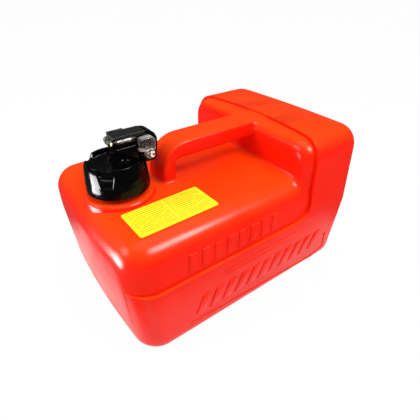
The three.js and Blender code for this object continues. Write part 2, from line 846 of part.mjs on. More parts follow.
// The pin valve: a head that closes the mouth, and a stem that the hose connector pushes.
const valveFar = mouthNear - seatGap;
const valveNear = valveFar - valveHeadLength;

function checkValve() {
  const head = alongY(valveHeadRadius, outletX, valveNear, valveFar, outletZ);
  return head.add(alongY(valveStemRadius, outletX, valveNear, outletTip - valveTipInset, outletZ, pinFacets));
}

function valveSpring() {
  const start = valveSeatY + seatGap + valveSpringWire;
  const pitch = (valveNear - seatGap - valveSpringWire - start) / valveSpringTurns;
  const points = [];
  for (let i = 0; i <= valveSpringTurns * curlSteps; i += 1) {
    const angle = (i / curlSteps) * Math.PI * 2;
    points.push(new THREE.Vector3(
      outletX + valveSpringCoil * Math.cos(angle),
      start + pitch * (i / curlSteps),
      outletZ - valveSpringCoil * Math.sin(angle),
    ));
  }
  return wire(points, valveSpringWire, new THREE.Vector3(0, 1, 0), 'valve_spring');
}

// The clear lens's outline: a broad head with a narrower stem below it.
function lensOutline(inset) {
  const left = lensLeft + inset;
  const right = lensRight - inset;
  const top = lensFoot + lensHeight - inset;
  const foot = lensFoot + inset;
  const stemLeft = lensStemLeft + inset;
  const stemRight = lensStemRight - inset;
  const low = lensFoot - lensStemDrop + inset;
  const radius = lensCorner - inset;
  const outline = new THREE.Shape();
  outline.absarc(stemRight - radius, low + radius, radius, -Math.PI / 2, 0, false);
  outline.lineTo(stemRight, foot);
  outline.lineTo(right, foot + radius);
  outline.absarc(right - radius, top - radius, radius, 0, Math.PI / 2, false);
  outline.absarc(left + radius, top - radius, radius, Math.PI / 2, Math.PI, false);
  outline.lineTo(left, foot + radius);
  outline.lineTo(stemLeft, foot);
  outline.absarc(stemLeft + radius, low + radius, radius, Math.PI, Math.PI * 1.5, false);
  return outline;
}

function gaugeLens() {
  const outside = slab(lensOutline(0), lensBack - lensDepth, lensBack);
  return outside.subtract(slab(lensOutline(lensWall), lensBack - lensDepth + lensWall, lensBack + cutOver));
}

// The gauge's hood: it stands against the tower, reaches over the ring and hangs beside it.
function gaugeHousing() {
  const shoulderX = hoodRight - hoodShoulder;
  const shoulderZ = hoodTop - hoodShoulder;
  const besideLatch = latchRight + runningGap;
  const outline = new THREE.Shape();
  outline.moveTo(hoodSide, hoodFoot);
  outline.lineTo(hoodRight, hoodFoot);
  outline.absarc(shoulderX, shoulderZ, hoodShoulder, 0, Math.PI / 2, false);
  outline.lineTo(besideLatch, hoodTop);
  outline.lineTo(besideLatch, towerTop);
  outline.lineTo(hoodLeft, towerTop);
  outline.lineTo(hoodLeft, overRing);
  outline.lineTo(hoodSide, overRing);
  const wellFoot = hoodFoot + drumFloor;
  const windowFoot = lensFoot - lensStemDrop + lensWall;
  return slab(outline, hoodNear, hoodFar).subtract(joined(
    linkHollow(),
    upright(drumRadius + turnGap, drumX, drumY, wellFoot, linkFoot + seatGap),
    upright(drumPivotRadius + runningGap, drumX, drumY, wellFoot - drumPivotLength - seatGap, linkFoot, pinFacets),
    box(
      hoodSide + lensWall,
      lensStemRight - lensWall,
      hoodNear - cutOver,
      drumY,
      windowFoot,
      towerTop - lensWall,
    ),
  ));
}

// The crank on the twisted strip and the one on the drum are alike, and one link joins them.
const crankFoot = linkFoot + runningGap;
const crankTop = crankFoot + crankThickness;
const linkBarFoot = crankTop + seatGap;
const linkBarTop = linkBarFoot + linkThickness;
const linkHeading = drumAxis.clone().sub(stripAxis).angle();
const crankHeading = linkHeading + Math.PI / 2 - crankTurnDegrees * degrees / 2;
const crankArm = new THREE.Vector2(Math.cos(crankHeading), Math.sin(crankHeading)).multiplyScalar(crankReach);

function crank(axis) {
  const end = axis.clone().add(crankArm);
  const arm = bar(axis, end, crankRadius, crankFoot, crankTop);
  return arm.add(upright(crankPinRadius, end.x, end.y, crankFoot, linkBarTop, pinFacets));
}

function gaugeCrank() {
  const bore = upright(stemRadius + seatGap, stripX, 0, crankFoot - cutOver, crankTop + cutOver);
  return crank(stripAxis).subtract(bore);
}

function gaugeLink() {
  const from = stripAxis.clone().add(crankArm);
  const to = drumAxis.clone().add(crankArm);
  const holes = [from, to].map((end) => upright(
    crankPinRadius + runningGap,
    end.x,
    end.y,
    linkBarFoot - cutOver,
    linkBarTop + cutOver,
    pinFacets,
  ));
  return bar(from, to, linkRadius, linkBarFoot, linkBarTop).subtract(joined(...holes));
}

// The drum that shows the level: its shaft carries a crank and its pivot turns in the hood's floor.
function gaugeDrum() {
  const foot = hoodFoot + drumFloor + seatGap;
  return joined(
    upright(drumRadius, drumX, drumY, foot, linkFoot - turnGap),
    upright(drumShaftRadius, drumX, drumY, foot, crankTop, pinFacets),
    upright(drumPivotRadius, drumX, drumY, foot - drumPivotLength, foot + seatGap, pinFacets),
    crank(drumAxis),
  );
}

// Heights in the tank. The float starts on its foot plate and rises by its travel.
const footFoot = tankWall + footAboveFloor;
const footTop = footFoot + footThickness;
const floatFoot = footTop + seatGap;
const floatTop = floatFoot + floatHeight;
const floatTravel = deckHeight - floatBelowDeck - floatTop;
const slotFoot = floatTop - floatSlotDepth;
const twistRate = crankTurnDegrees * degrees / floatTravel;

// The twisted metal strip, with a round stem above that carries the crank and a pivot below.
function gaugeStrip() {
  const low = footTop + seatGap;
  const high = plugFoot - turnGap;
  const rings = [];
  for (let i = 0; i <= stripSteps; i += 1) {
    const z = low + (high - low) * (i / stripSteps);
    const turn = -twistRate * (z - slotFoot - floatSlotDepth / 2);
    const along = new THREE.Vector3(Math.cos(turn), Math.sin(turn), 0).multiplyScalar(stripWidth / 2);
    const across = new THREE.Vector3(-Math.sin(turn), Math.cos(turn), 0).multiplyScalar(stripThickness / 2);
    const middle = new THREE.Vector3(stripX, 0, z);
    rings.push([
      middle.clone().sub(along).sub(across),
      middle.clone().add(along).sub(across),
      middle.clone().add(along).add(across),
      middle.clone().sub(along).add(across),
    ]);
  }
  return joined(
    solid(loft(rings)),
    upright(stemRadius, stripX, 0, high - seatGap, crankTop),
    upright(stemRadius / 2, stripX, 0, footFoot, low + seatGap, pinFacets),
  );
}

function fuelFloat() {
  const middle = (stripX + rodX) / 2;
  const body = upright(floatRadius, middle, 0, floatFoot, floatTop, roundFacets / 2);
  const halfLength = stripWidth / 2 + floatSlotPlay;
  const halfWidth = stripThickness / 2 + floatSlotPlay;
  return body.subtract(joined(
    upright(halfLength, stripX, 0, floatFoot - cutOver, slotFoot),
    box(stripX - halfLength, stripX + halfLength, -halfWidth, halfWidth, slotFoot - seatGap, floatTop + cutOver),
    upright(rodRadius + runningGap, rodX, 0, floatFoot - cutOver, floatTop + cutOver),
  ));
}

// The rod that the float slides on, with the collar that stops it at the top.
function floatGuide() {
  const collarFoot = floatTop + floatTravel + runningGap;
  const rod = upright(rodRadius, rodX, 0, footFoot, flangeFoot - seatGap);
  return rod.add(upright(rodCollarRadius, rodX, 0, collarFoot, collarFoot + rodCollarHeight));
}

function floatFootPlate() {
  const rodAxis = new THREE.Vector2(rodX, 0);
  return bar(rodAxis, stripAxis, footRadius, footFoot, footTop).subtract(joined(
    upright(rodRadius + seatGap, rodX, 0, footFoot - cutOver, footTop + cutOver),
    upright(stemRadius / 2 + runningGap, stripX, 0, footFoot - cutOver, footTop + cutOver, pinFacets),
  ));
}

// The pick-up pipe and the strainer on its lower end.
const pipeFoot = tankWall + pipeAboveFloor;
const strainerTop = pipeFoot + strainerCollar;
const strainerFoot = strainerTop - strainerHeight;

function pickupPipe() {
  const top = plugFoot - seatGap;
  const tube = upright(pipeRadius, pipeX, 0, pipeFoot, top);
  return tube.subtract(upright(pipeBore, pipeX, 0, pipeFoot - cutOver, top + cutOver));
}

function pickupStrainer() {
  const collarBore = pipeRadius + seatGap;
  const shoulder = pipeFoot - seatGap;
  const inner = strainerRadius - strainerWall;
  return turned([
    [pipeBore, shoulder], [pipeBore, shoulder - strainerWall], [inner, shoulder - strainerWall],
    [inner, strainerFoot], [strainerRadius, strainerFoot], [strainerRadius, strainerTop],
    [collarBore, strainerTop], [collarBore, shoulder], [pipeBore, shoulder],
  ], smallFacets).translate([pipeX, 0, 0]);
}

// The vent screw: a knob with shallow grip flutes, and a stem whose end closes the vent hole.
function ventScrew() {
  const foot = discTop + ventSealThickness + 2 * seatGap;
  const flutes = [];
  for (let i = 0; i < ventGripCount; i += 1) {
    const angle = (i / ventGripCount) * Math.PI * 2;
    const x = ventX + (ventRadius + ventGripDepth) * Math.cos(angle);
    const y = ventY + (ventRadius + ventGripDepth) * Math.sin(angle);
    flutes.push(upright(2 * ventGripDepth, x, y, foot - cutOver, foot + ventHeight + cutOver, curlSteps));
  }
  const knob = upright(ventRadius, ventX, ventY, foot, foot + ventHeight, roundFacets / 2);
  const stem = upright(ventStemRadius, ventX, ventY, ventSeat, foot + seatGap);
  return knob.subtract(joined(...flutes)).add(stem);
}

function ventSeal() {
  const foot = discTop + seatGap;
  const top = foot + ventSealThickness;
  const inner = ventStemRadius + seatGap;
  return turned([
    [inner, foot], [ventSealRadius, foot], [ventSealRadius, top], [inner, top], [inner, foot],
  ], smallFacets).translate([ventX, ventY, 0]);
}

// Materials.
const paint = (color, roughness, metalness = 0, more = {}) => new THREE.MeshStandardMaterial({
  color, roughness, metalness, ...more,
});
const tankRed = paint(0xd8180c, 0.42);
const labelYellow = paint(0xf2cf12, 0.5);
const gloss = paint(0x0b0b0c, 0.25);
const matteBlack = paint(0x17171a, 0.5);
const rubberBlack = paint(0x101010, 0.8);
const steel = paint(0xc9ccd0, 0.22, 1);
const brass = paint(0xb48a45, 0.3, 1);
const aluminium = paint(0xa9adb2, 0.35, 1);
const clear = paint(0xe8eeee, 0.08, 0, { transparent: true, opacity: 0.35 });
const white = paint(0xeceae4, 0.4);
const orange = paint(0xd4622a, 0.7);

function piece(name, geometry, material) {
  const mesh = new THREE.Mesh(geometry, material);
  mesh.name = name;
  return mesh;
}

const fuelTank = new THREE.Group();
fuelTank.add(piece('tank_body', shape(tankBody()), tankRed));

const sticker = piece('label_plate', label(), labelYellow);
sticker.position.set(labelX, labelY, deckHeight + seatGap);
sticker.rotation.z = labelTurnDegrees * degrees;
fuelTank.add(sticker);

const cap = new THREE.Group();
cap.position.set(neckX, neckY, 0);
cap.add(
  piece('cap_ring', shape(capRing()), gloss),
  piece('cap_gasket', shape(gasket()), rubberBlack),
  piece('cap_head', shape(capHead()), gloss),
  piece('latch_lever', shape(latchLever()), matteBlack),
  piece('latch_pin', shape(latchPin()), brass),
  piece('latch_spring', latchSpring(), steel),
  piece('outlet_nipple', shape(outletNipple()), steel),
  piece('outlet_seal', shape(outletSeal()), rubberBlack),
  piece('check_valve', shape(checkValve()), brass),
  piece('valve_spring', valveSpring(), steel),
  piece('gauge_housing', shape(gaugeHousing()), gloss),
  piece('gauge_lens', shape(gaugeLens()), clear),
  piece('gauge_drum', shape(gaugeDrum()), white),
  piece('gauge_link', shape(gaugeLink()), steel),
  piece('gauge_crank', shape(gaugeCrank()), brass),
  piece('gauge_strip', shape(gaugeStrip()), aluminium),
  piece('fuel_float', shape(fuelFloat()), orange),
  piece('float_guide', shape(floatGuide()), aluminium),
  piece('float_foot', shape(floatFootPlate()), matteBlack),
  piece('pickup_pipe', shape(pickupPipe()), aluminium),
  piece('pickup_strainer', shape(pickupStrainer()), white),
  piece('vent_screw', shape(ventScrew()), gloss),
  piece('vent_seal', shape(ventSeal()), rubberBlack),
);
fuelTank.add(cap);

export default fuelTank;
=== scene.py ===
# %% [markdown]
# # A portable outboard fuel tank in Blender
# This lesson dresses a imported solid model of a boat's portable fuel tank: a red blow-moulded
# can with a carry handle, and a black screw cap that holds the hose outlet, a vent and a gauge.
# The solid model already has every piece in its true place and size, so it is loaded first and
# never moved. The lesson then adds smooth visible pieces over it and gives each its finish.

# %% Load the solid model
import json
import math

import bmesh
import bpy
from mathutils import Matrix, Vector

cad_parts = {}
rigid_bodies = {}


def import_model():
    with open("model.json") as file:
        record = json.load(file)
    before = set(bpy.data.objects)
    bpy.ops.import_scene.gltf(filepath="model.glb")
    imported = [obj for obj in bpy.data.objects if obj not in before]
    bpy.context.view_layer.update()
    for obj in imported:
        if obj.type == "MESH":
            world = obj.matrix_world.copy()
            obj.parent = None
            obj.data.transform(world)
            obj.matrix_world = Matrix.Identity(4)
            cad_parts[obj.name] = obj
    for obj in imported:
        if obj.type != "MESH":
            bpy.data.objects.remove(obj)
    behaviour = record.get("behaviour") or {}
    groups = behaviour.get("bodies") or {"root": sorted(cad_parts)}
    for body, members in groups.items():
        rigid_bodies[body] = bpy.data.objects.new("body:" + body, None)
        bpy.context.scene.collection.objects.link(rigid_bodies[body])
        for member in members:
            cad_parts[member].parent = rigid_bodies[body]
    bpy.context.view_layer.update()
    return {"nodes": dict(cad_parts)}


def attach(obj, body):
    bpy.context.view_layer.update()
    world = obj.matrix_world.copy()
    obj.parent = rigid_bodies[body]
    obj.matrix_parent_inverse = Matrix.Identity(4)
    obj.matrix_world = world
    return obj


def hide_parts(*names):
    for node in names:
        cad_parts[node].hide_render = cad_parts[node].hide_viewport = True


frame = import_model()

# %% [markdown]
# ## Working in millimetres
# The tank's drawings are in millimetres and Blender's unit here is the metre. Every mesh below is
# shaped in millimetres and shrunk once, when it is finished. Its place stays in its vertices, so
# that its object can sit at the origin, which keeps patterns on Object coordinates in place.

# %% Scale and tolerance
MILLIMETRE = 0.001
TOUCH = 0.0005
print("one millimetre in scene units:", MILLIMETRE)


# %% [markdown]
# ## Three ways to start a shape
# Nearly everything here starts as a box, as a flat outline that is pulled out, or as a profile
# that is spun. These helpers wrap the bmesh operators for those, and for the round edges that
# every moulded or turned piece has.

# %% Boxes, outlines and spun profiles
def box_shape(x0, x1, y0, y1, z0, z1):
    """A closed box between six planes."""
    bm = bmesh.new()
    bmesh.ops.create_cube(bm, size=1)
    bmesh.ops.scale(bm, vec=(x1 - x0, y1 - y0, z1 - z0), verts=bm.verts)
    return moved(bm, ((x0 + x1) / 2, (y0 + y1) / 2, (z0 + z1) / 2))


def outline_shape(points, pull):
    """A flat outline pulled out along one direction into a closed slab."""
    bm = bmesh.new()
    face = bm.faces.new([bm.verts.new(point) for point in points])
    pulled = bmesh.ops.extrude_face_region(bm, geom=[face])
    far_end = [item for item in pulled["geom"] if isinstance(item, bmesh.types.BMVert)]
    bmesh.ops.translate(bm, vec=pull, verts=far_end)
    bmesh.ops.recalc_face_normals(bm, faces=bm.faces)
    return bm


def spun_shape(profile, steps=96, centre=(0, 0), closed=True):
    """A profile of (radius, height) pairs spun once round an upright axis."""
    bm = bmesh.new()
    corners = [bm.verts.new((radius, 0, height)) for radius, height in profile]
    pairs = list(zip(corners, corners[1:]))
    if closed:
        pairs.append((corners[-1], corners[0]))
    edges = [bm.edges.new(pair) for pair in pairs]
    bmesh.ops.spin(
        bm, geom=corners + edges, cent=(0, 0, 0), axis=(0, 0, 1), angle=2 * math.pi,
        steps=steps, use_merge=True, use_duplicate=False,
    )
    bmesh.ops.remove_doubles(bm, verts=bm.verts, dist=TOUCH)
    moved(bm, (*centre, 0))
    bmesh.ops.recalc_face_normals(bm, faces=bm.faces)
    return bm


def round_edges(bm, radius, segments=4, where=lambda edge: True):
    """Rounds the edges that a test picks."""
    picked = [edge for edge in bm.edges if where(edge)]
    bmesh.ops.bevel(
        bm, geom=picked, offset=radius, affect="EDGES", segments=segments, profile=0.5,
        material=-1, clamp_overlap=True,
    )
    return bm


def sharp(edge, least=25):
    """True for an edge that turns more than a few degrees."""
    return len(edge.link_faces) == 2 and math.degrees(edge.calc_face_angle(0)) > least


def soften(bm, radius, segments, least=60):
    """Rounds every edge that turns more than a limit in degrees."""
    return round_edges(bm, radius, segments, lambda edge: sharp(edge, least))


def moved(bm, by):
    bmesh.ops.translate(bm, vec=by, verts=bm.verts)
    return bm


def turned(bm, angle, axis="Z"):
    """Turns a shape about one of the scene's axes."""
    bmesh.ops.rotate(
        bm, verts=bm.verts, cent=(0, 0, 0), matrix=Matrix.Rotation(angle, 3, axis),
    )
    return bm


def slice_at(bm, point, normal):
    """Adds edges where a plane crosses the shape, so that it can bend there."""
    everything = bm.verts[:] + bm.edges[:] + bm.faces[:]
    bmesh.ops.bisect_plane(bm, geom=everything, plane_co=point, plane_no=normal)


print("helpers ready: box_shape, outline_shape, spun_shape, round_edges, soften")


# %% [markdown]
# ## Joining and cutting
# A bmesh has no join or cut of its own, so two shapes are put on objects for a moment, the
# Boolean modifier works on them, and the result is read back. The same detour runs the Remesh
# modifier, which turns overlapping blocks into one even skin.

# %% Modifiers that are applied at once
def on_object(bm, name):
    """Puts a bmesh on a passing object and frees it."""
    mesh = bpy.data.meshes.new(name)
    bm.to_mesh(mesh)
    bm.free()
    made = bpy.data.objects.new(name, mesh)
    bpy.context.scene.collection.objects.link(made)
    return made


def read_back(made):
    """The object's shape with its modifiers as a new bmesh. The object goes."""
    graph = bpy.context.evaluated_depsgraph_get()
    bm = bmesh.new()
    bm.from_mesh(made.evaluated_get(graph).to_mesh())
    made.evaluated_get(graph).to_mesh_clear()
    drop(made)
    return bm


def drop(made):
    mesh = made.data
    bpy.data.objects.remove(made)
    bpy.data.meshes.remove(mesh)


def combined(bm, others, how):
    """Joins the others to a shape (UNION) or cuts them from it (DIFFERENCE)."""
    made = on_object(bm, "shape")
    helpers = [on_object(other, "helper") for other in others]
    for helper in helpers:
        step = made.modifiers.new("boolean", "BOOLEAN")
        step.operation = how
        step.solver = "EXACT"
        step.object = helper
    result = read_back(made)
    for helper in helpers:
        drop(helper)
    return result


def joined(bm, *others):
    return combined(bm, others, "UNION")


def cut(bm, *others):
    return combined(bm, others, "DIFFERENCE")


def gathered(shapes):
    """Several shapes side by side in one bmesh, not joined."""
    whole = bmesh.new()
    for shape in shapes:
        mesh = bpy.data.meshes.new("one shape")
        shape.to_mesh(mesh)
        shape.free()
        whole.from_mesh(mesh)
        bpy.data.meshes.remove(mesh)
    return whole


def reskinned(shapes, voxel, passes):
    """One even skin round overlapping shapes, with its creases smoothed out."""
    made = on_object(gathered(shapes), "skin")
    step = made.modifiers.new("remesh", "REMESH")
    step.mode = "VOXEL"
    step.voxel_size = voxel
    bm = read_back(made)
    for _ in range(passes):
        bmesh.ops.smooth_vert(
            bm, verts=bm.verts, factor=0.5, use_axis_x=True, use_axis_y=True, use_axis_z=True,
        )
    return bm


print("helpers ready: joined, cut, gathered, reskinned")


# %% [markdown]
# ## Finishing a piece
# A finished piece is shrunk to metres, shaded smooth except across real edges, given its finish
# and slot, and tied to the solid body that it rides on. The cap's pieces are drawn round the
# filler neck's axis, so they are set over the neck here.

# %% Finish and place a piece
NECK_X, NECK_Y = -124, -3
OVER_NECK = (NECK_X, NECK_Y, 0)


def finished(bm, name, body, finish, stands_for=(), place=(0, 0, 0), crease=32):
    """Makes the visible object of a shape drawn in millimetres."""
    moved(bm, place)
    bmesh.ops.scale(bm, vec=(MILLIMETRE, MILLIMETRE, MILLIMETRE), verts=bm.verts)
    made = on_object(bm, name)
    made.data.shade_smooth()
    made.data.set_sharp_from_angle(angle=math.radians(crease))
    made.data.materials.append(finish.material)
    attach(made, body)
    if stands_for:
        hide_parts(*stands_for)
    print(name, "has", len(made.data.polygons), "faces")
    return made


# %% [markdown]
# ## Finishes as sums
# Every finish is made of nodes, with no pictures, so it has detail at any distance. Long chains
# of Math nodes are hard to read, so one small class wraps a socket and lets Python's own signs
# add the nodes: `1 - mask * 0.4` becomes two Math nodes. Numbers that are the same all over a
# piece are set on the shader itself.

# %% Sockets that can be added and multiplied
class Value:
    """One socket of a finish. Signs between values add the Math nodes they need."""

    def __init__(self, finish, socket):
        self.finish = finish
        self.socket = socket

    def math(self, operation, *terms):
        return self.finish.node("ShaderNodeMath", {"operation": operation}, dict(enumerate(terms)))

    def __add__(self, other):
        return self.math("ADD", self, other)

    def __sub__(self, other):
        return self.math("SUBTRACT", self, other)

    def __rsub__(self, other):
        return self.math("SUBTRACT", other, self)

    def __mul__(self, other):
        return self.math("MULTIPLY", self, other)

    def __pow__(self, other):
        return self.math("POWER", self, other)

    def __abs__(self):
        return self.math("ABSOLUTE", self)

    __radd__ = __add__
    __rmul__ = __mul__

    def most(self, other):
        return self.math("MAXIMUM", self, other)

    def repeat(self, period):
        """Distance from the middle of the nearest stripe, from 0 to half a period."""
        return abs(self.math("PINGPONG", self, period / 2))

    def fade(self, low, high):
        """Runs smoothly from 0 at low to 1 at high."""
        return self.finish.node(
            "ShaderNodeMapRange", {"interpolation_type": "SMOOTHSTEP"},
            {"Value": self, "From Min": low, "From Max": high, "To Min": 0, "To Max": 1},
        )


class Finish:
    """A node material whose shader's own sockets hold its plain numbers."""

    def __init__(self, name, **plain):
        self.material = bpy.data.materials.new(name)
        self.material.use_nodes = True
        self.tree = self.material.node_tree
        self.shader = self.tree.nodes["Principled BSDF"]
        for socket, number in plain.items():
            self.shader.inputs[socket.replace("_", " ")].default_value = number

    def node(self, kind, settings=None, sockets=None, out=0):
        """Adds one node: its settings first, then the values or links of its sockets."""
        made = self.tree.nodes.new(kind)
        for setting, choice in (settings or {}).items():
            setattr(made, setting, choice)
        for socket, given in (sockets or {}).items():
            if isinstance(given, Value):
                self.tree.links.new(given.socket, made.inputs[socket])
            else:
                made.inputs[socket].default_value = given
        return Value(self, made.outputs[out])

    def feed(self, socket, value):
        self.tree.links.new(value.socket, self.shader.inputs[socket])
        return self

    def place(self, scale=(1, 1, 1), turn=(0, 0, 0)):
        """Object coordinates, in metres, after a Mapping node."""
        object_place = self.node("ShaderNodeTexCoord", out="Object")
        return self.node(
            "ShaderNodeMapping", None,
            {"Vector": object_place, "Rotation": turn, "Scale": scale},
        )

    def axes(self, place):
        """The three parts of a place as separate values."""
        first = self.node("ShaderNodeSeparateXYZ", None, {"Vector": place})
        return [Value(self, output) for output in first.socket.node.outputs]

    def noise(self, place, scale, detail=2, roughness=0.5):
        return self.node(
            "ShaderNodeTexNoise", {"noise_dimensions": "3D"},
            {"Vector": place, "Scale": scale, "Detail": detail, "Roughness": roughness}, "Fac",
        )

    def mix(self, share, first, second):
        """One colour turning into another."""
        return self.node(
            "ShaderNodeMix", {"data_type": "RGBA"}, {0: share, 6: first, 7: second}, 2,
        )

    def bump(self, height, distance, strength=1):
        made = self.node(
            "ShaderNodeBump", None, {"Height": height, "Distance": distance, "Strength": strength},
        )
        return self.feed("Normal", made)


def plain_finish(name, cloud_scale, colours, rough, grain, **plain):
    """Two near colours in soft clouds, with a fine grain in the bump."""
    finish = Finish(name, **plain)
    place = finish.place()
    cloud = finish.noise(place, cloud_scale, 3)
    finish.feed("Base Color", finish.mix(cloud, *colours))
    finish.feed("Roughness", rough[0] + rough[1] * cloud)
    grain_scale, height, strength = grain
    finish.bump(finish.noise(place, grain_scale, 2), height, strength)
    return finish


def grey(level):
    return (level, level, level, 1)


def colour(red, green, blue):
    """A colour as it is picked on a screen, as the linear numbers that Blender wants."""
    def linear(level):
        share = level / 255
        return share / 12.92 if share <= 0.04045 else ((share + 0.055) / 1.055) ** 2.4
    return (linear(red), linear(green), linear(blue), 1)


print("the tank's red in linear numbers:", colour(232, 32, 14))

# %% [markdown]
# ## The tank's skin
# The real can is blow-moulded: a hot tube of polyethylene is blown out against a mould, so every
# edge is round and every inner corner has a soft fillet. Bevels alone can't make the fillets where
# the handle runs into the deck, so the skin is made in two rounds. Overlapping blocks are given
# one even skin and its creases are smoothed well, and the handle is skinned on to them with less
# smoothing. The outer body and the boss round the neck have crisper edges, so they are joined to
# that skin last, as they are. No two blocks share a face, because a join fails where faces meet.

# %% Sizes of the tank, as in the solid model
LENGTH, WIDTH = 355, 254
DECK, TALL = 160, 210
WALL = 3
CORNER, FOOT_ROUND, TALL_ROUND, DECK_ROUND = 30, 22, 26, 28
LEDGE, LEDGE_INSET, END_INSET = 106, 4, 0.3
LOWER_DRAFT, UPPER_DRAFT, END_BOW = 6, 5, 6
FRONT_FACE, STEP_AT_SIDE, STEP_BOW = 66, 79, 16
FRONT_DEEP, FRONT_LOW, FRONT_DROP, FRONT_ROUND = 44, 50, 3.3, 15
HANDLE_LEFT, HANDLE_POST, HANDLE_BAR, HANDLE_WIDTH = -73, 18.5, 23, 40
HANDLE_DROP, HANDLE_TURN, HANDLE_INNER_TURN, HANDLE_ROUND = 1.5, 38, 4, 7.5
SKIN_STEP = 2.35
print("skin step in millimetres:", SKIN_STEP)


# %% A moulded block with drafted walls and bowed ends
def upright_edge(edge):
    first, last = (vert.co for vert in edge.verts)
    return abs(first.x - last.x) < TOUCH and abs(first.y - last.y) < TOUCH


def level_edge(height):
    return lambda edge: all(abs(vert.co.z - height) < TOUCH for vert in edge.verts)


def moulded_block(top, top_round, inset_x, inset_y, shrink=0):
    """The can's envelope up to one height, drawn in by the draft and bowed at the ends."""
    half_x = LENGTH / 2 - inset_x - shrink
    half_y = WIDTH / 2 - inset_y - shrink
    bm = box_shape(-half_x, half_x, -half_y, half_y, shrink, top - shrink)
    round_edges(bm, CORNER - shrink, 8, upright_edge)
    round_edges(bm, top_round - shrink, 7, level_edge(top - shrink))
    round_edges(bm, FOOT_ROUND - shrink, 6, level_edge(shrink))
    for share in (-0.75, -0.5, -0.25, 0, 0.25, 0.5, 0.75):
        slice_at(bm, (0, share * half_y, 0), (0, 1, 0))
    slice_at(bm, (0, 0, LEDGE), (0, 0, 1))
    for vert in bm.verts:
        share_x, share_y = vert.co.x / half_x, vert.co.y / half_y
        low = LOWER_DRAFT * max(1 - vert.co.z / LEDGE, 0)
        high = UPPER_DRAFT * max((vert.co.z - LEDGE) / (TALL - LEDGE), 0)
        vert.co.x -= share_x * (low + END_BOW * share_y ** 2)
        vert.co.y -= share_y * (low + high)
    return bm


def squeeze(bm, side, share):
    """Draws one half of a shape in along X, so that two blocks never share an end face."""
    for vert in bm.verts:
        if vert.co.x * side > 0:
            vert.co.x *= share
    return bm


outer_body = squeeze(moulded_block(TALL, TALL_ROUND, 0, 0), -1, 0.994)
print("outer body:", len(outer_body.faces), "faces")


# %% Cut the step that leaves the tall end proud
def step_cutter(shrink=0):
    """Everything above the ledge and in front of the bowed step."""
    far = WIDTH / 2 + 20
    bm = box_shape(-LENGTH, 0, -far, far, LEDGE - shrink, TALL + 20)
    foot = [edge for edge in bm.edges if all(
        abs(vert.co.x) < TOUCH and vert.co.z < LEDGE + 1 for vert in edge.verts)]
    bmesh.ops.bevel(
        bm, geom=foot, offset=20, affect="EDGES", segments=6, profile=0.5, material=-1,
    )
    for step in range(1, 12):
        slice_at(bm, (0, far * (2 * step / 12 - 1), 0), (0, 1, 0))
    for vert in bm.verts:
        if vert.co.x > -LENGTH / 2:
            across = min(abs(vert.co.y) / (WIDTH / 2), 1)
            vert.co.x += STEP_AT_SIDE + shrink + STEP_BOW * (1 - across ** 2)
    return bm


outer_body = cut(outer_body, step_cutter())
bmesh.ops.remove_doubles(outer_body, verts=outer_body.verts, dist=0.05)
bmesh.ops.dissolve_degenerate(outer_body, edges=outer_body.edges, dist=0.05)
soften(outer_body, 2, 2, 48)
print("outer body with its step:", len(outer_body.faces), "faces")

# %% [markdown]
# ## The handle and the deck under it
# The handle is an upright post that turns a wide corner into a flat bar and runs back into the
# tall end. It is drawn from the side as an outline, pulled out to its width, and rounded: first
# the two corners of the turn, then all the long edges.

# %% Draw the handle, the deck and the tall end's front
def handle_shape(shrink=0):
    left, under = HANDLE_LEFT + shrink, TALL - HANDLE_BAR + shrink
    post, foot, back = HANDLE_LEFT + HANDLE_POST - shrink, DECK - 14, FRONT_FACE + 30
    top = TALL - HANDLE_DROP - shrink
    half = HANDLE_WIDTH / 2 - shrink
    outline = [(left, foot), (post, foot), (post, under), (back, under),
               (back, top), (left, top)]
    bm = outline_shape([(x, half, z) for x, z in outline], (0, -2 * half, 0))

    def turn_at(x, z):
        return lambda edge: all(
            abs(vert.co.x - x) < TOUCH and abs(vert.co.z - z) < TOUCH for vert in edge.verts)

    def along_side(edge):
        first, last = (vert.co for vert in edge.verts)
        return sharp(edge, 40) and abs(first.y - last.y) < TOUCH

    round_edges(bm, HANDLE_TURN - shrink, 9, turn_at(left, top))
    round_edges(bm, HANDLE_INNER_TURN + shrink, 6, turn_at(post, under))
    return round_edges(bm, HANDLE_ROUND - shrink, 5, along_side)


def tall_front():
    """The block that closes the recess, between the deck and the tall end."""
    side = WIDTH / 2 - LEDGE_INSET - UPPER_DRAFT * 0.75 + 0.8
    low = DECK - FRONT_LOW
    bm = box_shape(FRONT_FACE, FRONT_FACE + FRONT_DEEP, -side, side, low, TALL - FRONT_DROP)

    def top_along_x(edge):
        first, last = (vert.co for vert in edge.verts)
        return abs(first.x - last.x) > 1 and min(first.z, last.z) > DECK

    def front_but_foot(edge):
        first, last = (vert.co for vert in edge.verts)
        return (abs(first.x - FRONT_FACE) < TOUCH and abs(last.x - FRONT_FACE) < TOUCH
                and max(first.z, last.z) >= low + 1)

    round_edges(bm, TALL_ROUND, 7, top_along_x)
    return round_edges(bm, FRONT_ROUND, 6, front_but_foot)


FOOT_LIFT = 1.2
deck_block = squeeze(moulded_block(DECK, DECK_ROUND, END_INSET, LEDGE_INSET), 1, 0.97)
for vert in deck_block.verts:
    vert.co.z += FOOT_LIFT * max(1 - vert.co.z / LEDGE, 0)
boss = spun_shape([
    (0, DECK - 6), (42.4, DECK - 6), (41.6, DECK + 0.6), (40.6, DECK + 3.2), (38.4, DECK + 5),
    (0, DECK + 5),
], 128, (NECK_X, NECK_Y), closed=False)
round_edges(boss, 1.2, 3, lambda edge: sharp(edge, 20) and edge.verts[0].co.z > DECK)
print("deck:", len(deck_block.faces), "faces")

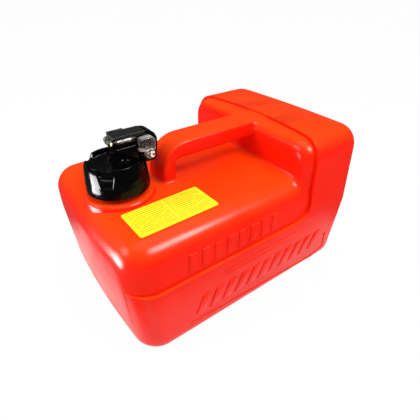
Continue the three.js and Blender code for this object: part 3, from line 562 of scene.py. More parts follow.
# %% Skin the soft parts, then everything
soft_parts = reskinned([deck_block, tall_front()], SKIN_STEP, 7)
print("soft parts:", len(soft_parts.faces), "faces")
soft_parts = reskinned([soft_parts, handle_shape()], SKIN_STEP, 2)
tank_skin = joined(soft_parts, outer_body, boss)
open_edges = [edge for edge in tank_skin.edges if not edge.is_manifold]
print("tank skin:", len(tank_skin.faces), "faces,", len(open_edges), "open edges,",
      round(tank_skin.calc_volume() / 1e6, 2), "l")

# %% [markdown]
# ## The filler neck and the hollow
# The neck is a tube with a raised thread. Its profile is spun once, and the thread is one small
# tooth that is spun while it climbs, which is how a lathe cuts it. The can is a thin shell, so a
# smaller copy of its own blocks is cut out of the inside, together with the neck's bore.

# %% Neck, thread and hollow
RIM = DECK + 32
THREAD_PITCH, THREAD_TURNS = 6.5, 1.75


def thread_shape():
    """One tooth of the thread, swept upwards round the neck."""
    bm = bmesh.new()
    start = RIM - 2 - 1.5 - THREAD_PITCH * THREAD_TURNS
    tooth = [(28.9, -1.5), (28.9, 1.5), (31.6, 0.9), (32.1, 0), (31.6, -0.9)]
    face = bm.faces.new([bm.verts.new((radius, 0, start + height)) for radius, height in tooth])
    steps = int(THREAD_TURNS * 48)
    angle = THREAD_TURNS * 2 * math.pi
    climb = THREAD_PITCH * THREAD_TURNS / steps
    bmesh.ops.spin(
        bm, geom=[face], cent=(0, 0, 0), axis=(0, 0, 1), dvec=(0, 0, climb), angle=angle,
        steps=steps, use_merge=False, use_duplicate=False,
    )
    ends = [loop for loop in bm.edges if loop.is_boundary]
    if ends:
        bmesh.ops.holes_fill(bm, edges=ends, sides=8)
    bmesh.ops.recalc_face_normals(bm, faces=bm.faces)
    return moved(bm, OVER_NECK)


neck = spun_shape([(0, DECK - 3), (30, DECK - 3), (30, RIM - 0.8), (29.2, RIM), (0, RIM)],
                  96, (NECK_X, NECK_Y), closed=False)
bore = spun_shape([(0, DECK - 12), (27, DECK - 12), (27, RIM - 0.6), (27.8, RIM + 0.2),
                   (27.8, RIM + 9), (0, RIM + 9)], 96, (NECK_X, NECK_Y), closed=False)
hollow_tall = cut(moulded_block(TALL, TALL_ROUND, 0, 0, WALL), step_cutter(WALL))
hollow_deck = moulded_block(DECK, DECK_ROUND, END_INSET, LEDGE_INSET, WALL)
hollow = joined(hollow_tall, hollow_deck)
tank_skin = joined(tank_skin, neck, thread_shape())
tank_skin = cut(tank_skin, hollow, bore)
print("tank with neck and hollow:", len(tank_skin.faces), "faces")

# %% [markdown]
# ## Red polyethylene
# Moulded polyethylene is deeply coloured and waxy: its highlights are broad and soft, its large
# faces wave a little where the plastic cooled, and it has a fine pebbled grain. The grain and the
# waves are bump only. The sides are a deep red, and the faces that look up are painted a lighter
# orange-red as painted light from above, so the colour is mixed by how far a face looks upwards.

# %% The red finish
def red_plastic():
    finish = Finish("red_polyethylene", IOR=1.5, Specular_IOR_Level=0.14)
    place = finish.place()
    cloud = finish.noise(place, 9, 3)
    # Painted light: faces that look up get a lighter orange-red, standing in for the sheen from
    # above.
    painted_top_light = finish.axes(finish.node("ShaderNodeTexCoord", out="Normal"))[2].fade(0.3, 0.95)
    deep = finish.mix(cloud.fade(0.3, 0.7), (0.82, 0.010, 0.0015, 1), (0.86, 0.014, 0.002, 1))
    painted_lit_red = finish.mix(cloud.fade(0.3, 0.7), (0.84, 0.038, 0.002, 1), (0.88, 0.050, 0.003, 1))
    finish.feed("Base Color", finish.mix(painted_top_light, deep, painted_lit_red))
    scuff = finish.noise(place, 24, 2)
    finish.feed("Roughness", 0.2 + 0.07 * scuff.fade(0.3, 0.7))
    waves = finish.noise(place, 16, 1)
    grain = finish.noise(place, 1500, 2)
    finish.bump(waves + 0.012 * grain, 0.0016, 0.5)
    return finish


red_finish = red_plastic()
print("the red has", len(red_finish.tree.nodes), "nodes")

# %% Give the can its skin
finished(tank_skin, "tank_shell", "tank", red_finish, ["tank_body"], crease=50)

# %% [markdown]
# ## Raised ribs on the sides
# Large thin walls bulge when the fuel warms, so ribs are moulded on them. They also give wet
# hands a grip. Each rib is drawn flat, pulled out by less than a millimetre, and leaned by the
# same draft as the wall it stands on. The far wall gets the mirrored copy. Their edges are
# rounded, because sharp edges would tear when the part leaves its mould.

# %% Pads and beads on the walls
def wall_at(height):
    """How far the near wall stands from the middle at a height."""
    if height < LEDGE:
        return -WIDTH / 2 + LOWER_DRAFT * (1 - height / LEDGE)
    share = (height - LEDGE) / (TALL - LEDGE)
    return -WIDTH / 2 + LEDGE_INSET + UPPER_DRAFT * share


def raised(points, proud=0.9, rounding=0.4):
    """A raised patch on the near wall, from its outline in X and Z."""
    bm = outline_shape([(x, 2, z) for x, z in points], (0, -2 - proud, 0))
    round_edges(bm, rounding, 2,
                lambda edge: all(vert.co.y < -proud + TOUCH for vert in edge.verts))
    for vert in bm.verts:
        vert.co.y += wall_at(vert.co.z)
    return bm


def slanted(x, width, foot, top, lean=0.32):
    """The outline of one leaning pad."""
    shift = (top - foot) * lean
    return [(x, foot), (x + width, foot), (x + width + shift, top), (x + shift, top)]


def bead(start, end, thick=1.5):
    """The outline of a thin straight bead."""
    along = Vector((end[0] - start[0], end[1] - start[1])).normalized() * thick / 2
    across = Vector((-along.y, along.x))
    a, b = Vector(start), Vector(end)
    return [tuple(a - across), tuple(b - across), tuple(b + across), tuple(a + across)]


ribs = []
for step in range(8):
    ribs.append(raised(slanted(-108 + 17 * step, 10, 113, 136, 0.1), 0.8))
for step in range(11):
    ribs.append(raised(slanted(-100 + 19.5 * step, 12, 41, 69), 0.9))
for start, end in (
    ((-108, 29), (112, 17)), ((112, 17), (134, 26)), ((134, 26), (130, 56)),
    ((-60, 91), (62, 91)), ((-60, 84), (40, 84)),
):
    ribs.append(raised(bead(start, end), 0.7, 0.3))
both_walls = gathered(ribs)
near_wall = both_walls.verts[:] + both_walls.edges[:] + both_walls.faces[:]
bmesh.ops.mirror(both_walls, geom=near_wall, axis="Y", merge_dist=0)
finished(both_walls, "side_ribs", "tank", red_finish, crease=40)
print("ribs on each wall:", len(ribs))

# %% [markdown]
# ## The yellow label
# The label is a paper sticker on the deck, already in its place in the solid model. A pattern of
# two columns of fine broken lines inside a plain margin fills it. The lines are drawn by repeating
# the distance across the label, and the pattern is turned by one degree like the label itself.

# %% The label's finish
def label_print():
    finish = Finish("yellow_label", IOR=1.5)
    lean = math.radians(-1)
    place = finish.place(turn=(0, 0, lean))
    along, across, _ = finish.axes(place)
    middle = Vector((-0.095, -0.071, 0))
    middle.rotate(Vector((1, 0, 0)).rotation_difference(
        Vector((math.cos(lean), math.sin(lean), 0))))
    x = along - middle.x
    y = across - middle.y
    in_columns = (abs(x) - 0.0012).fade(0, 0.0003) * (1 - (abs(x) - 0.0452).fade(0, 0.0003))
    in_rows = 1 - (abs(y) - 0.0202).fade(0, 0.0003)
    rule = 1 - (y + 1).repeat(0.0034).fade(0.0004, 0.0009)
    dashes = finish.place(scale=(1, 2, 1), turn=(0, 0, lean))
    broken = finish.noise(dashes, 230, 2).fade(0.34, 0.46)
    ink = in_columns * in_rows * rule * broken
    paper = finish.noise(finish.place(), 40, 3)
    yellow = finish.mix(paper, colour(248, 226, 4), colour(240, 214, 2))
    finish.feed("Base Color", finish.mix(ink * 0.8, yellow, colour(150, 130, 6)))
    finish.feed("Roughness", 0.42 + 0.12 * paper)
    finish.bump(finish.noise(finish.place(), 900, 2), 0.00004, 0.6)
    return finish


def dress(node, finish):
    """Gives a solid model's own piece its finish."""
    for place in frame["nodes"][node].material_slots:
        place.material = finish.material
    print(node, "wears", finish.material.name)


dress("label_plate", label_print())

# %% [markdown]
# ## Black plastics
# Three blacks are on the cap. The mouldings are glossy, so they show as near black with thin
# bright lines where their edges catch a lamp. The latch is satin with a fine grain. The rubber
# seals are dull. Gloss comes from a low roughness, and a faint wave in the bump keeps the
# reflections from looking like glass.

# %% Gloss, satin and rubber
def gloss_plastic():
    finish = Finish("gloss_black_plastic", IOR=1.5, Specular_IOR_Level=0.12)
    place = finish.place()
    cloud = finish.noise(place, 60, 3)
    finish.feed("Base Color", finish.mix(
        cloud, (0.0008, 0.0008, 0.001, 1), (0.0022, 0.0022, 0.0025, 1)))
    finish.feed("Roughness", 0.1 + 0.1 * finish.noise(place, 240, 4, 0.6).fade(0.4, 0.75))
    finish.bump(finish.noise(place, 130, 2), 0.00025, 0.35)
    return finish


gloss = gloss_plastic()
satin = plain_finish(
    "satin_black_plastic", 90, (grey(0.005), (0.012, 0.012, 0.0125, 1)), (0.34, 0.14),
    (2200, 0.00006, 0.6), IOR=1.5, Specular_IOR_Level=0.35)
rubber = plain_finish(
    "black_rubber", 300, (grey(0.006), grey(0.018)), (0.62, 0.2), (1800, 0.00005, 0.5),
    IOR=1.5, Specular_IOR_Level=0.3)
print("blacks ready")

# %% [markdown]
# ## Metals
# A metal's colour is its reflection, so its shader is metallic and its detail is in the
# roughness. Turned parts carry fine rings from the lathe and sheet carries a grain, drawn here by
# stretching noise along one axis.

# %% Steel, brass and aluminium
def metal(name, dark, light, smooth, streak):
    finish = Finish(name, Metallic=1)
    rings = finish.noise(finish.place(scale=streak), 900, 3)
    finish.feed("Base Color", finish.mix(rings, dark, light))
    finish.feed("Roughness", smooth + 0.16 * rings)
    finish.bump(rings, 0.00002, 0.5)
    return finish


plated = metal("plated_steel", (0.72, 0.73, 0.75, 1), (0.9, 0.9, 0.92, 1), 0.2, (0.2, 1, 0.2))
spring_wire = metal("spring_wire", (0.72, 0.73, 0.75, 1), (0.92, 0.93, 0.95, 1), 0.3, (1, 1, 1))
brass = metal("brass", (0.50, 0.36, 0.20, 1), (0.70, 0.55, 0.34, 1), 0.42, (1, 0.2, 0.2))
aluminium = metal("aluminium", (0.56, 0.57, 0.59, 1), (0.76, 0.77, 0.79, 1), 0.28, (1, 1, 0.1))
print("metals ready")


# %% [markdown]
# ## The screw ring
# The ring clamps the cap on the neck. Its skirt is one profile spun round the axis. Four fingers
# stand on it to be gripped, each a small block spun through a part of a turn and then narrowed
# towards its top. Above the cap's flange each finger grows inwards into a lip. A fine round on
# every edge gives the thin bright lines that make black plastic readable.

# %% Skirt and fingers
RING_FOOT, RING_BORE, RING_WALL_TOP = 171, 32.6, 192.6
FINGER_FOOT, LIP_FOOT, FINGER_TOP, LIP_BORE = 185.2, 199.2, 205, 29
FINGERS, FINGER_FIRST = 4, math.radians(-86)
FOOT_SHARE, TOP_SHARE = 0.78, 0.6


def close_ends(bm):
    """Fills the two open ends that a swept face leaves, and turns every face outwards."""
    ends = [edge for edge in bm.edges if edge.is_boundary]
    if ends:
        bmesh.ops.holes_fill(bm, edges=ends, sides=64)
    bmesh.ops.recalc_face_normals(bm, faces=bm.faces)
    return bm


def swept(profile, first, angle, steps):
    """A flat profile of (radius, height) pairs spun through a part of a turn."""
    bm = bmesh.new()
    face = bm.faces.new([bm.verts.new((radius, 0, height)) for radius, height in profile])
    turned(bm, first)
    bmesh.ops.spin(
        bm, geom=[face], cent=(0, 0, 0), axis=(0, 0, 1), angle=angle, steps=steps,
        use_merge=False, use_duplicate=False,
    )
    return close_ends(bm)


def ring_finger(middle):
    """One finger: a curved hook that narrows towards its top."""
    half = FOOT_SHARE * math.pi / FINGERS
    bm = swept([
        (32.9, FINGER_FOOT - 3), (35.8, FINGER_FOOT - 3), (35.6, FINGER_FOOT), (34.2, LIP_FOOT),
        (31.4, FINGER_TOP), (LIP_BORE, FINGER_TOP), (LIP_BORE, LIP_FOOT), (32.9, LIP_FOOT),
    ], middle - half, 2 * half, 24)
    for vert in bm.verts:
        rise = max((vert.co.z - FINGER_FOOT) / (FINGER_TOP - FINGER_FOOT), 0)
        turn = math.atan2(vert.co.y, vert.co.x) - middle
        turn = (turn + math.pi) % (2 * math.pi) - math.pi
        vert.co.rotate(Matrix.Rotation(turn * (TOP_SHARE / FOOT_SHARE - 1) * rise, 3, "Z"))

    def upright_side(edge):
        return sharp(edge, 60) and abs(edge.verts[0].co.z - edge.verts[1].co.z) > 4

    round_edges(bm, 0.8, 1, upright_side)
    return soften(bm, 0.6, 4)


skirt = spun_shape([
    (RING_BORE, RING_FOOT), (36.8, RING_FOOT), (35.6, FINGER_FOOT), (33.8, FINGER_FOOT + 0.5),
    (33.8, RING_WALL_TOP), (RING_BORE, RING_WALL_TOP),
], 128)
soften(skirt, 0.55, 3, 40)
fingers = [ring_finger(FINGER_FIRST + step * 2 * math.pi / FINGERS) for step in range(FINGERS)]
ring_body = joined(skirt, *fingers)
finished(ring_body, "screw_ring", "ring", gloss, ["cap_ring"], OVER_NECK)


# %% [markdown]
# ## The cap's main moulding
# Inside the ring's fingers sits the cap itself: a flanged disc with a plug below, and a tower that
# carries the outlet and the latch. Each part is rounded on its own and then joined, so that the
# inner corners stay crisp while the outer edges catch the light.

# %% Rods and holes
def rod_shape(radius, start, end, segments=40):
    """A closed cylinder from one point to another."""
    start, end = Vector(start), Vector(end)
    turn = (end - start).to_track_quat("Z", "Y").to_matrix().to_4x4()
    bm = bmesh.new()
    bmesh.ops.create_cone(
        bm, cap_ends=True, segments=segments, radius1=radius, radius2=radius,
        depth=(end - start).length, matrix=Matrix.Translation((start + end) / 2) @ turn,
    )
    return bm


STRIP, DRUM = Vector((18, 0, 0)), Vector((43.5, 5, 0))
LINK_FOOT, LINK_TOP = 207, 211.2


def bar_shape(start, end, across, low, high, steps=8, rounding=0.25):
    """A flat bar with round ends between two upright axes."""
    reach = (end - start).length
    bm = box_shape(-across, reach + across, -across, across, low, high)
    round_edges(bm, across - 0.01, steps, upright_edge)
    if rounding:
        soften(bm, rounding, 2)
    turned(bm, math.atan2(end.y - start.y, end.x - start.x))
    return moved(bm, (start.x, start.y, 0))


def link_hollow():
    """The slot that the gauge's cranks and link move in."""
    return bar_shape(STRIP, DRUM, 6.8, LINK_FOOT, LINK_TOP, 10, 0)


# %% Disc and tower
FLANGE_TOP, DISC_TOP, PLUG_FOOT = 198.9, 200.8, 189.1
TOWER_TOP, TOWER_RIGHT = 217.8, 25.2
PIN_Y, PIN_Z = -8, 224.4
OUTLET_X, OUTLET_Z = 6, 213.4


def pin_rod(radius, start, end, segments):
    """A rod on the axis that the latch turns on."""
    return rod_shape(radius, (start, PIN_Y, PIN_Z), (end, PIN_Y, PIN_Z), segments)


disc = spun_shape([
    (0, PLUG_FOOT), (26.6, PLUG_FOOT), (26.6, 195.1), (32.2, 195.1), (32.2, FLANGE_TOP),
    (28.6, FLANGE_TOP), (28.6, DISC_TOP), (26.4, DISC_TOP), (25.6, DISC_TOP - 1.2),
    (0, DISC_TOP - 1.2),
], 128, closed=False)
soften(disc, 0.3, 2, 40)
tower = box_shape(-2, TOWER_RIGHT, -11, 9, FLANGE_TOP, TOWER_TOP)
round_edges(tower, 0.9, 4, lambda edge: max(v.co.z for v in edge.verts) > 210)
plinth = box_shape(-4.5, TOWER_RIGHT + 1, -13, 11, FLANGE_TOP, DISC_TOP)
round_edges(plinth, 1.2, 4, upright_edge)
ears = []
for ear in (-2, TOWER_RIGHT - 2.4):
    web = box_shape(ear, ear + 2.4, PIN_Y - 3, PIN_Y + 3, 214, PIN_Z)
    round_top = pin_rod(3, ear, ear + 2.4, 48)
    soften(round_top, 0.4, 2)
    ears += [web, round_top]
socket = rod_shape(6.3, (-15, 0, 182.1), (-15, 0, 192), 64)
moulding = joined(disc, tower, plinth, *ears, socket)
print("moulding before its holes:", len(moulding.faces), "faces")

# %% Its holes
moulding = cut(
    moulding,
    rod_shape(4.3, (-15, 0, 180), (-15, 0, PLUG_FOOT)),
    rod_shape(1.6, (-15, 0, PLUG_FOOT - 1), (-15, 0, 196.6), 24),
    rod_shape(4.3, (OUTLET_X, 3, OUTLET_Z), (OUTLET_X, 15, OUTLET_Z)),
    pin_rod(1.3, -5, 30, 32),
    rod_shape(1.9, (18, 0, 185), (18, 0, 209), 32),
    rod_shape(1.9, (6, 0, 185), (6, 0, 195.1), 32),
    rod_shape(2.4, (4, -19.4, 195.5), (4, -19.4, 203), 32),
    rod_shape(0.8, (4, -19.4, 185), (4, -19.4, 196), 16),
    link_hollow(),
)
finished(moulding, "cap_moulding", "cap", gloss, ["cap_head"], OVER_NECK)

# %% [markdown]
# ## The latch, its pin and its spring
# The latch is a satin plate that hooks over the outlet's hose connector. It swings on a pin with a
# brass head, and a long wound spring round the pin holds it down. The spring's wire is one small
# circle that is spun round the pin while it moves along it, and then pulled out into two legs.

# %% Latch plate
LATCH_LEFT, LATCH_RIGHT, LATCH_NEAR, LATCH_FAR = 0.7, 38.5, -4.7, 14.5
LATCH_FOOT, LATCH_TOP = 224.6, 228.6
plate = box_shape(LATCH_LEFT, LATCH_RIGHT, LATCH_NEAR, LATCH_FAR, LATCH_FOOT, LATCH_TOP)
round_edges(plate, 1.4, 4, upright_edge)
soften(plate, 0.45, 3)
thumb_rib = box_shape(LATCH_LEFT, 19.7, 11.5, LATCH_FAR, LATCH_FOOT + 1, LATCH_TOP + 1.5)
round_edges(thumb_rib, 0.5, 3)
hook = box_shape(1, 11, 12.3, LATCH_FAR, LATCH_FOOT - 4, LATCH_TOP - 0.6)
round_edges(hook, 0.45, 2)
ridges = []
for across in (-1.5, 1.5, 4.5, 7.5):
    ridge = box_shape(4, 35, across - 0.5, across + 0.5, LATCH_TOP - 1, LATCH_TOP + 0.3)
    ridges.append(round_edges(ridge, 0.2, 2))
knuckles = []
for knuckle in (LATCH_LEFT, TOWER_RIGHT - 4.7):
    knuckles.append(box_shape(knuckle, knuckle + 2, PIN_Y, LATCH_NEAR + 2, PIN_Z, PIN_Z + 3))
    knuckles.append(pin_rod(3, knuckle, knuckle + 2, 48))
latch = joined(plate, thumb_rib, hook, *ridges, *knuckles)
latch = cut(latch, pin_rod(1.3, -8, 30, 32))
finished(latch, "latch_plate", "latch", satin, ["latch_lever"], OVER_NECK)

# %% Pin and spring
pin = pin_rod(1, -3, 25.5, 40)
soften(pin, 0.25, 3)
pin_head = pin_rod(2.2, -4.1, -2.3, 48)
soften(pin_head, 0.6, 4)
finished(joined(pin, pin_head), "hinge_pin", "cap", brass, ["latch_pin"], OVER_NECK)

SPRING_START, SPRING_TURNS, SPRING_PITCH, SPRING_RADIUS = 3.35, 15.5, 1.05, 1.75
wire = bmesh.new()
bmesh.ops.create_circle(
    wire, cap_ends=True, segments=12, radius=0.35,
    matrix=(Matrix.Translation((SPRING_START, PIN_Y, PIN_Z - SPRING_RADIUS))
            @ Matrix.Rotation(math.pi / 2, 4, "X")),
)
bmesh.ops.spin(
    wire, geom=list(wire.faces), cent=(0, PIN_Y, PIN_Z), axis=(-1, 0, 0),
    dvec=(SPRING_PITCH / 24, 0, 0), angle=SPRING_TURNS * 2 * math.pi, steps=int(SPRING_TURNS * 24),
    use_merge=False, use_duplicate=False,
)
close_ends(wire)
for end in [face for face in wire.faces if len(face.verts) > 4]:
    leg = bmesh.ops.extrude_discrete_faces(wire, faces=[end])["faces"][0]
    print("spring leg starts at", tuple(round(part, 1) for part in leg.calc_center_median()))
    bmesh.ops.translate(wire, vec=(0, 1.9, 0), verts=leg.verts)
finished(wire, "wound_spring", "cap", spring_wire, ["latch_spring"], OVER_NECK)

# %% [markdown]
# ## The hose outlet
# On the far side the hose clips on to a plated nipple: a hexagonal nut, a shank with a groove for
# its seal, and a mouth closed by a small brass valve. The shank is spun upright and then laid
# along the outlet's axis.

# %% Nipple
def laid_along_y(bm, x, z):
    """Turns a shape that was spun upright so that its height runs away along Y."""
    return moved(turned(bm, -math.pi / 2, "X"), (x, 0, z))


shank = spun_shape([
    (1.6, 3.3), (4, 3.3), (4, 24.7), (2.8, 24.7), (2.8, 27.3), (4, 27.3), (4, 32.2), (3.2, 33.3),
    (1.3, 33.3), (1.3, 31.3), (2.4, 31.3), (2.4, 18.3), (1.6, 18.3),
], 64)
soften(shank, 0.2, 2)
nut = rod_shape(6.6, (0, 0, 9.3), (0, 0, 13.3), 6)
nut = cut(nut, rod_shape(3, (0, 0, 5), (0, 0, 20), 48))
soften(nut, 0.35, 3, 25)
nipple = laid_along_y(joined(shank, nut), OUTLET_X, OUTLET_Z)
finished(nipple, "hose_nipple", "cap", plated, ["outlet_nipple"], OVER_NECK)

# %% [markdown]
# ## The level gauge
# Beside the cap a black hood carries a drum that shows the fuel level behind a clear lens. A bar
# links it to a twisted strip that the float turns. The hood and the lens are outlines seen from
# the front, pulled out and rounded. The lens is a thin clear shell, open at its back.

# %% Hood
def round_corners(bm, radii):
    """Rounds the edges that run along Y at named places (x, z) of an outline."""
    for (x, z), radius in radii.items():
        def here(edge):
            return all(abs(v.co.x - x) < TOUCH and abs(v.co.z - z) < TOUCH for v in edge.verts)
        round_edges(bm, radius, 10 if radius > 5 else 6, here)
    return bm


HOOD_NEAR, HOOD_FAR, HOOD_LEFT, HOOD_SIDE = -3.5, 15, 25.5, 36.4
OVER_RING = 205.8
HOOD_FOOT, HOOD_TOP, HOOD_RIGHT, HOOD_SHOULDER = 189.7, 227.8, 53.5, 38.9
HOOD_FOOT_RIGHT = 49.5
hood_outline = [
    (HOOD_SIDE, HOOD_FOOT), (HOOD_FOOT_RIGHT, HOOD_FOOT), (HOOD_RIGHT, 208), (HOOD_RIGHT, HOOD_TOP),
    (HOOD_SHOULDER, HOOD_TOP), (HOOD_SHOULDER, TOWER_TOP), (HOOD_LEFT, TOWER_TOP),
    (HOOD_LEFT, OVER_RING), (HOOD_SIDE, OVER_RING),
]
hood = outline_shape([(x, HOOD_NEAR, z) for x, z in hood_outline], (0, HOOD_FAR - HOOD_NEAR, 0))
round_corners(hood, {
    (HOOD_RIGHT, HOOD_TOP): 13.9, (HOOD_FOOT_RIGHT, HOOD_FOOT): 2.5, (HOOD_SIDE, HOOD_FOOT): 1.5,
})
soften(hood, 0.7, 4)
LENS_LEFT, LENS_RIGHT, STEM_LEFT, STEM_RIGHT = 25.5, 47, 35.2, 45.2
LENS_FOOT, LENS_TOP, STEM_FOOT = 205.8, 222.8, 196.8
LENS_BACK, LENS_DEPTH = -3.8, 9
well = spun_shape([(0, 192.7), (5.8, 192.7), (5.8, 207.3), (0, 207.3)], 64, DRUM.xy, closed=False)
pivot = rod_shape(1.3, (DRUM.x, DRUM.y, 190.8), (DRUM.x, DRUM.y, 195), 24)
window = box_shape(HOOD_SIDE + 1.4, STEM_RIGHT - 1.4, -9, DRUM.y, STEM_FOOT + 1.4, TOWER_TOP - 1.4)
hood = cut(hood, window, well, pivot, link_hollow())
finished(hood, "gauge_hood", "cap", gloss, ["gauge_housing"], OVER_NECK)


# %% Lens
def clear_plastic():
    """Clear square on; rims whitened as a painted reflection, white stem patches as painted glints.
    """
    finish = Finish("clear_plastic", IOR=1.49)
    place = finish.place()
    _, _, z = finish.axes(place)
    low = 1 - z.fade(0.2075, 0.2125)
    # Painted glints: white, rougher and more opaque patches on the lower stem.
    painted_glints = finish.noise(place, 330, 1).fade(0.50, 0.56) * low
    # Rims seen edge-on are whitened as a painted reflection and made more opaque.
    across = finish.node("ShaderNodeLayerWeight", None, {"Blend": 0.5}, "Facing")
    painted_glint_and_rim = painted_glints.most(across.fade(0.35, 0.8))
    finish.feed("Base Color", finish.mix(painted_glint_and_rim, (0.13, 0.10, 0.085, 1), (0.95, 0.93, 0.93, 1)))
    finish.feed("Roughness", 0.06 + 0.1 * painted_glints)
    finish.feed("Alpha", 0.16 + (0.8 * painted_glints).most(0.75 * across ** 2))
    finish.bump(finish.noise(place, 200, 2), 0.0006, 0.3)
    return finish


def lens_shape(inset, near, far):
    """The lens's outline: a broad head over a narrower stem that tapers into it."""
    left, right = LENS_LEFT + inset, LENS_RIGHT - inset
    foot, top, low = LENS_FOOT + inset, LENS_TOP - inset, STEM_FOOT + inset
    stem_left, stem_right = STEM_LEFT + inset, STEM_RIGHT - inset
    corners = [(stem_left, low), (stem_right, low), (stem_right, foot), (right, foot + 3),
               (right, top), (left, top), (left, foot + 3), (stem_left, foot)]
    bm = outline_shape([(x, near, z) for x, z in corners], (0, far - near, 0))
    round_corners(bm, {
        (right, top): 6 - inset, (left, top): 6 - inset, (left, foot + 3): 2,
        (stem_left, low): 3 - inset, (stem_right, low): 3 - inset,
    })
    return bm


LENS_WALL, LENS_FRONT = 1.4, LENS_BACK - LENS_DEPTH
lens = lens_shape(0, LENS_FRONT, LENS_BACK)
round_edges(lens, 2.6, 6, lambda edge: sharp(edge, 60) and all(
    vert.co.y < LENS_FRONT + 0.1 for vert in edge.verts))
lens = cut(lens, lens_shape(LENS_WALL, LENS_FRONT + LENS_WALL, LENS_BACK + 5))
finished(lens, "clear_lens", "cap", clear_plastic(), ["gauge_lens"], OVER_NECK)


# %% Drum with its scale
def drum_scale():
    """White plastic with dark level marks: one ring for each quarter, finer ones between."""
    finish = Finish("white_plastic", IOR=1.46)
    _, y, z = finish.axes(finish.place())
    height = z - 0.1930
    quarters = 1 - height.repeat(0.0034).fade(0.0002, 0.0004)
    halves = 1 - height.repeat(0.0017).fade(0.0001, 0.0002)
    side = (y + 0.004).fade(0, 0.0003)
    marks = (quarters * 0.9).most(halves * side * 0.7)
    haze = finish.noise(finish.place(), 300, 3)
    white = finish.mix(haze, colour(228, 228, 220), colour(240, 240, 234))
    finish.feed("Base Color", finish.mix(marks, white, colour(30, 30, 32)))
    finish.feed("Roughness", 0.3 + 0.15 * haze)
    finish.bump(haze, 0.00005, 0.4)
    return finish


STRIP_HEADING = math.atan2(DRUM.y - STRIP.y, DRUM.x - STRIP.x)
CRANK_ARM = Matrix.Rotation(STRIP_HEADING + math.pi / 4, 3, "Z") @ Vector((4, 0, 0))
CRANK_FOOT, CRANK_TOP, LINK_BAR_FOOT, LINK_BAR_TOP = 207.4, 208.8, 209.1, 210.5


def post(radius, axis, low, high, segments=32, rounding=0.15):
    """An upright pin with softened rims."""
    bm = rod_shape(radius, (axis.x, axis.y, low), (axis.x, axis.y, high), segments)
    return soften(bm, rounding, 2)


drum = spun_shape([(0, 193), (5, 193), (5, 206.2), (0, 206.2)], 64, DRUM.xy, closed=False)
soften(drum, 0.4, 3)
drum = joined(
    drum, post(1.2, DRUM, 205, CRANK_TOP), post(0.9, DRUM, 191.4, 194),
    bar_shape(DRUM, DRUM + CRANK_ARM, 2.4, CRANK_FOOT, CRANK_TOP - 0.1),
    post(1, DRUM + CRANK_ARM, CRANK_FOOT + 0.1, LINK_BAR_TOP),
)
finished(drum, "level_drum", "drum", drum_scale(), ["gauge_drum"], OVER_NECK)

# %% Crank, link and twisted strip
crank = joined(
    bar_shape(STRIP, STRIP + CRANK_ARM, 2.4, CRANK_FOOT, CRANK_TOP - 0.1),
    post(1, STRIP + CRANK_ARM, CRANK_FOOT + 0.1, LINK_BAR_TOP),
)
crank = cut(crank, rod_shape(1.8, (STRIP.x, 0, 207), (STRIP.x, 0, 209.5)))
finished(crank, "strip_crank", "strip", brass, ["gauge_crank"], OVER_NECK)

link_ends = STRIP + CRANK_ARM, DRUM + CRANK_ARM
link = bar_shape(*link_ends, 2, LINK_BAR_FOOT, LINK_BAR_TOP)
link = cut(link, *(rod_shape(1.4, (end.x, end.y, 208.5), (end.x, end.y, 211)) for end in link_ends))
finished(link, "crank_link", "link", plated, ["gauge_link"], OVER_NECK)

STRIP_FOOT, STRIP_TOP, SLOT_HEIGHT, TWIST = 13.3, 188.3, 36.55, math.radians(90) / 120
strip = box_shape(-2.5, 2.5, -0.45, 0.45, STRIP_FOOT, STRIP_TOP)
round_edges(strip, 0.15, 2, upright_edge)
for step in range(1, 60):
    slice_at(strip, (0, 0, STRIP_FOOT + (STRIP_TOP - STRIP_FOOT) * step / 60), (0, 0, 1))
for vert in strip.verts:
    vert.co.rotate(Matrix.Rotation(-TWIST * (vert.co.z - SLOT_HEIGHT), 3, "Z"))
moved(strip, STRIP)
strip = joined(strip, post(1.5, STRIP, 188, CRANK_TOP), post(0.75, STRIP, 10, 13.6, 20, 0.1))
finished(strip, "twisted_strip", "strip", aluminium, ["gauge_strip"], OVER_NECK)

# %% [markdown]
# ## What hangs in the tank
# Under the cap a foam float slides on a rod and turns the strip as it rises. Beside it the
# pick-up pipe draws the fuel through a strainer. They are out of sight until the cap is lifted,
# but the part is looked at with its cap off too. The foam is dull with open cells, so its bump is
# made of small round pits from a Voronoi pattern.

# %% Float
def float_foam():
    finish = Finish("orange_foam", Specular_IOR_Level=0.25)
    place = finish.place()
    cells = finish.node(
        "ShaderNodeTexVoronoi", {"feature": "F1"}, {"Vector": place, "Scale": 900}, "Distance")
    cloud = finish.noise(place, 70, 3)
    finish.feed("Base Color", finish.mix(cloud, colour(214, 98, 30), colour(232, 122, 46)))
    finish.feed("Roughness", 0.75 + 0.15 * cloud)
    finish.bump(cells, 0.0003, 0.5)
    return finish


ROD = Vector((6, 0, 0))
PIPE = Vector((-15, 0, 0))
foam = spun_shape([(0, 13.3), (11.5, 13.3), (11.5, 37.3), (0, 37.3)], 96, (12, 0), closed=False)
soften(foam, 1.6, 5)
foam = cut(
    foam, rod_shape(3, (18, 0, 10), (18, 0, 35.8)), rod_shape(2, (6, 0, 10), (6, 0, 40)),
    box_shape(15, 21, -0.95, 0.95, 35, 40),
)
finished(foam, "foam_float", "float", float_foam(), ["fuel_float"], OVER_NECK)

# %% Guide rod and foot plate
guide = joined(
    post(1.6, ROD, 10, 194.8), post(3, ROD, 157.7, 159.7, 40, 0.4),
)
finished(guide, "guide_rod", "cap", aluminium, ["float_guide"], OVER_NECK)
foot = bar_shape(ROD, STRIP, 4.5, 10, 13, rounding=0.5)
foot = cut(foot, rod_shape(1.9, (6, 0, 9), (6, 0, 14)), rod_shape(1.15, (18, 0, 9), (18, 0, 14)))
finished(foot, "rod_foot", "cap", satin, ["float_foot"], OVER_NECK)

# %% Pick-up pipe and strainer
pipe = spun_shape([(2.9, 17), (4, 17), (4, 188.8), (2.9, 188.8)], 48, PIPE.xy)
soften(pipe, 0.25, 2)
finished(pipe, "pickup_tube", "cap", aluminium, ["pickup_pipe"], OVER_NECK)

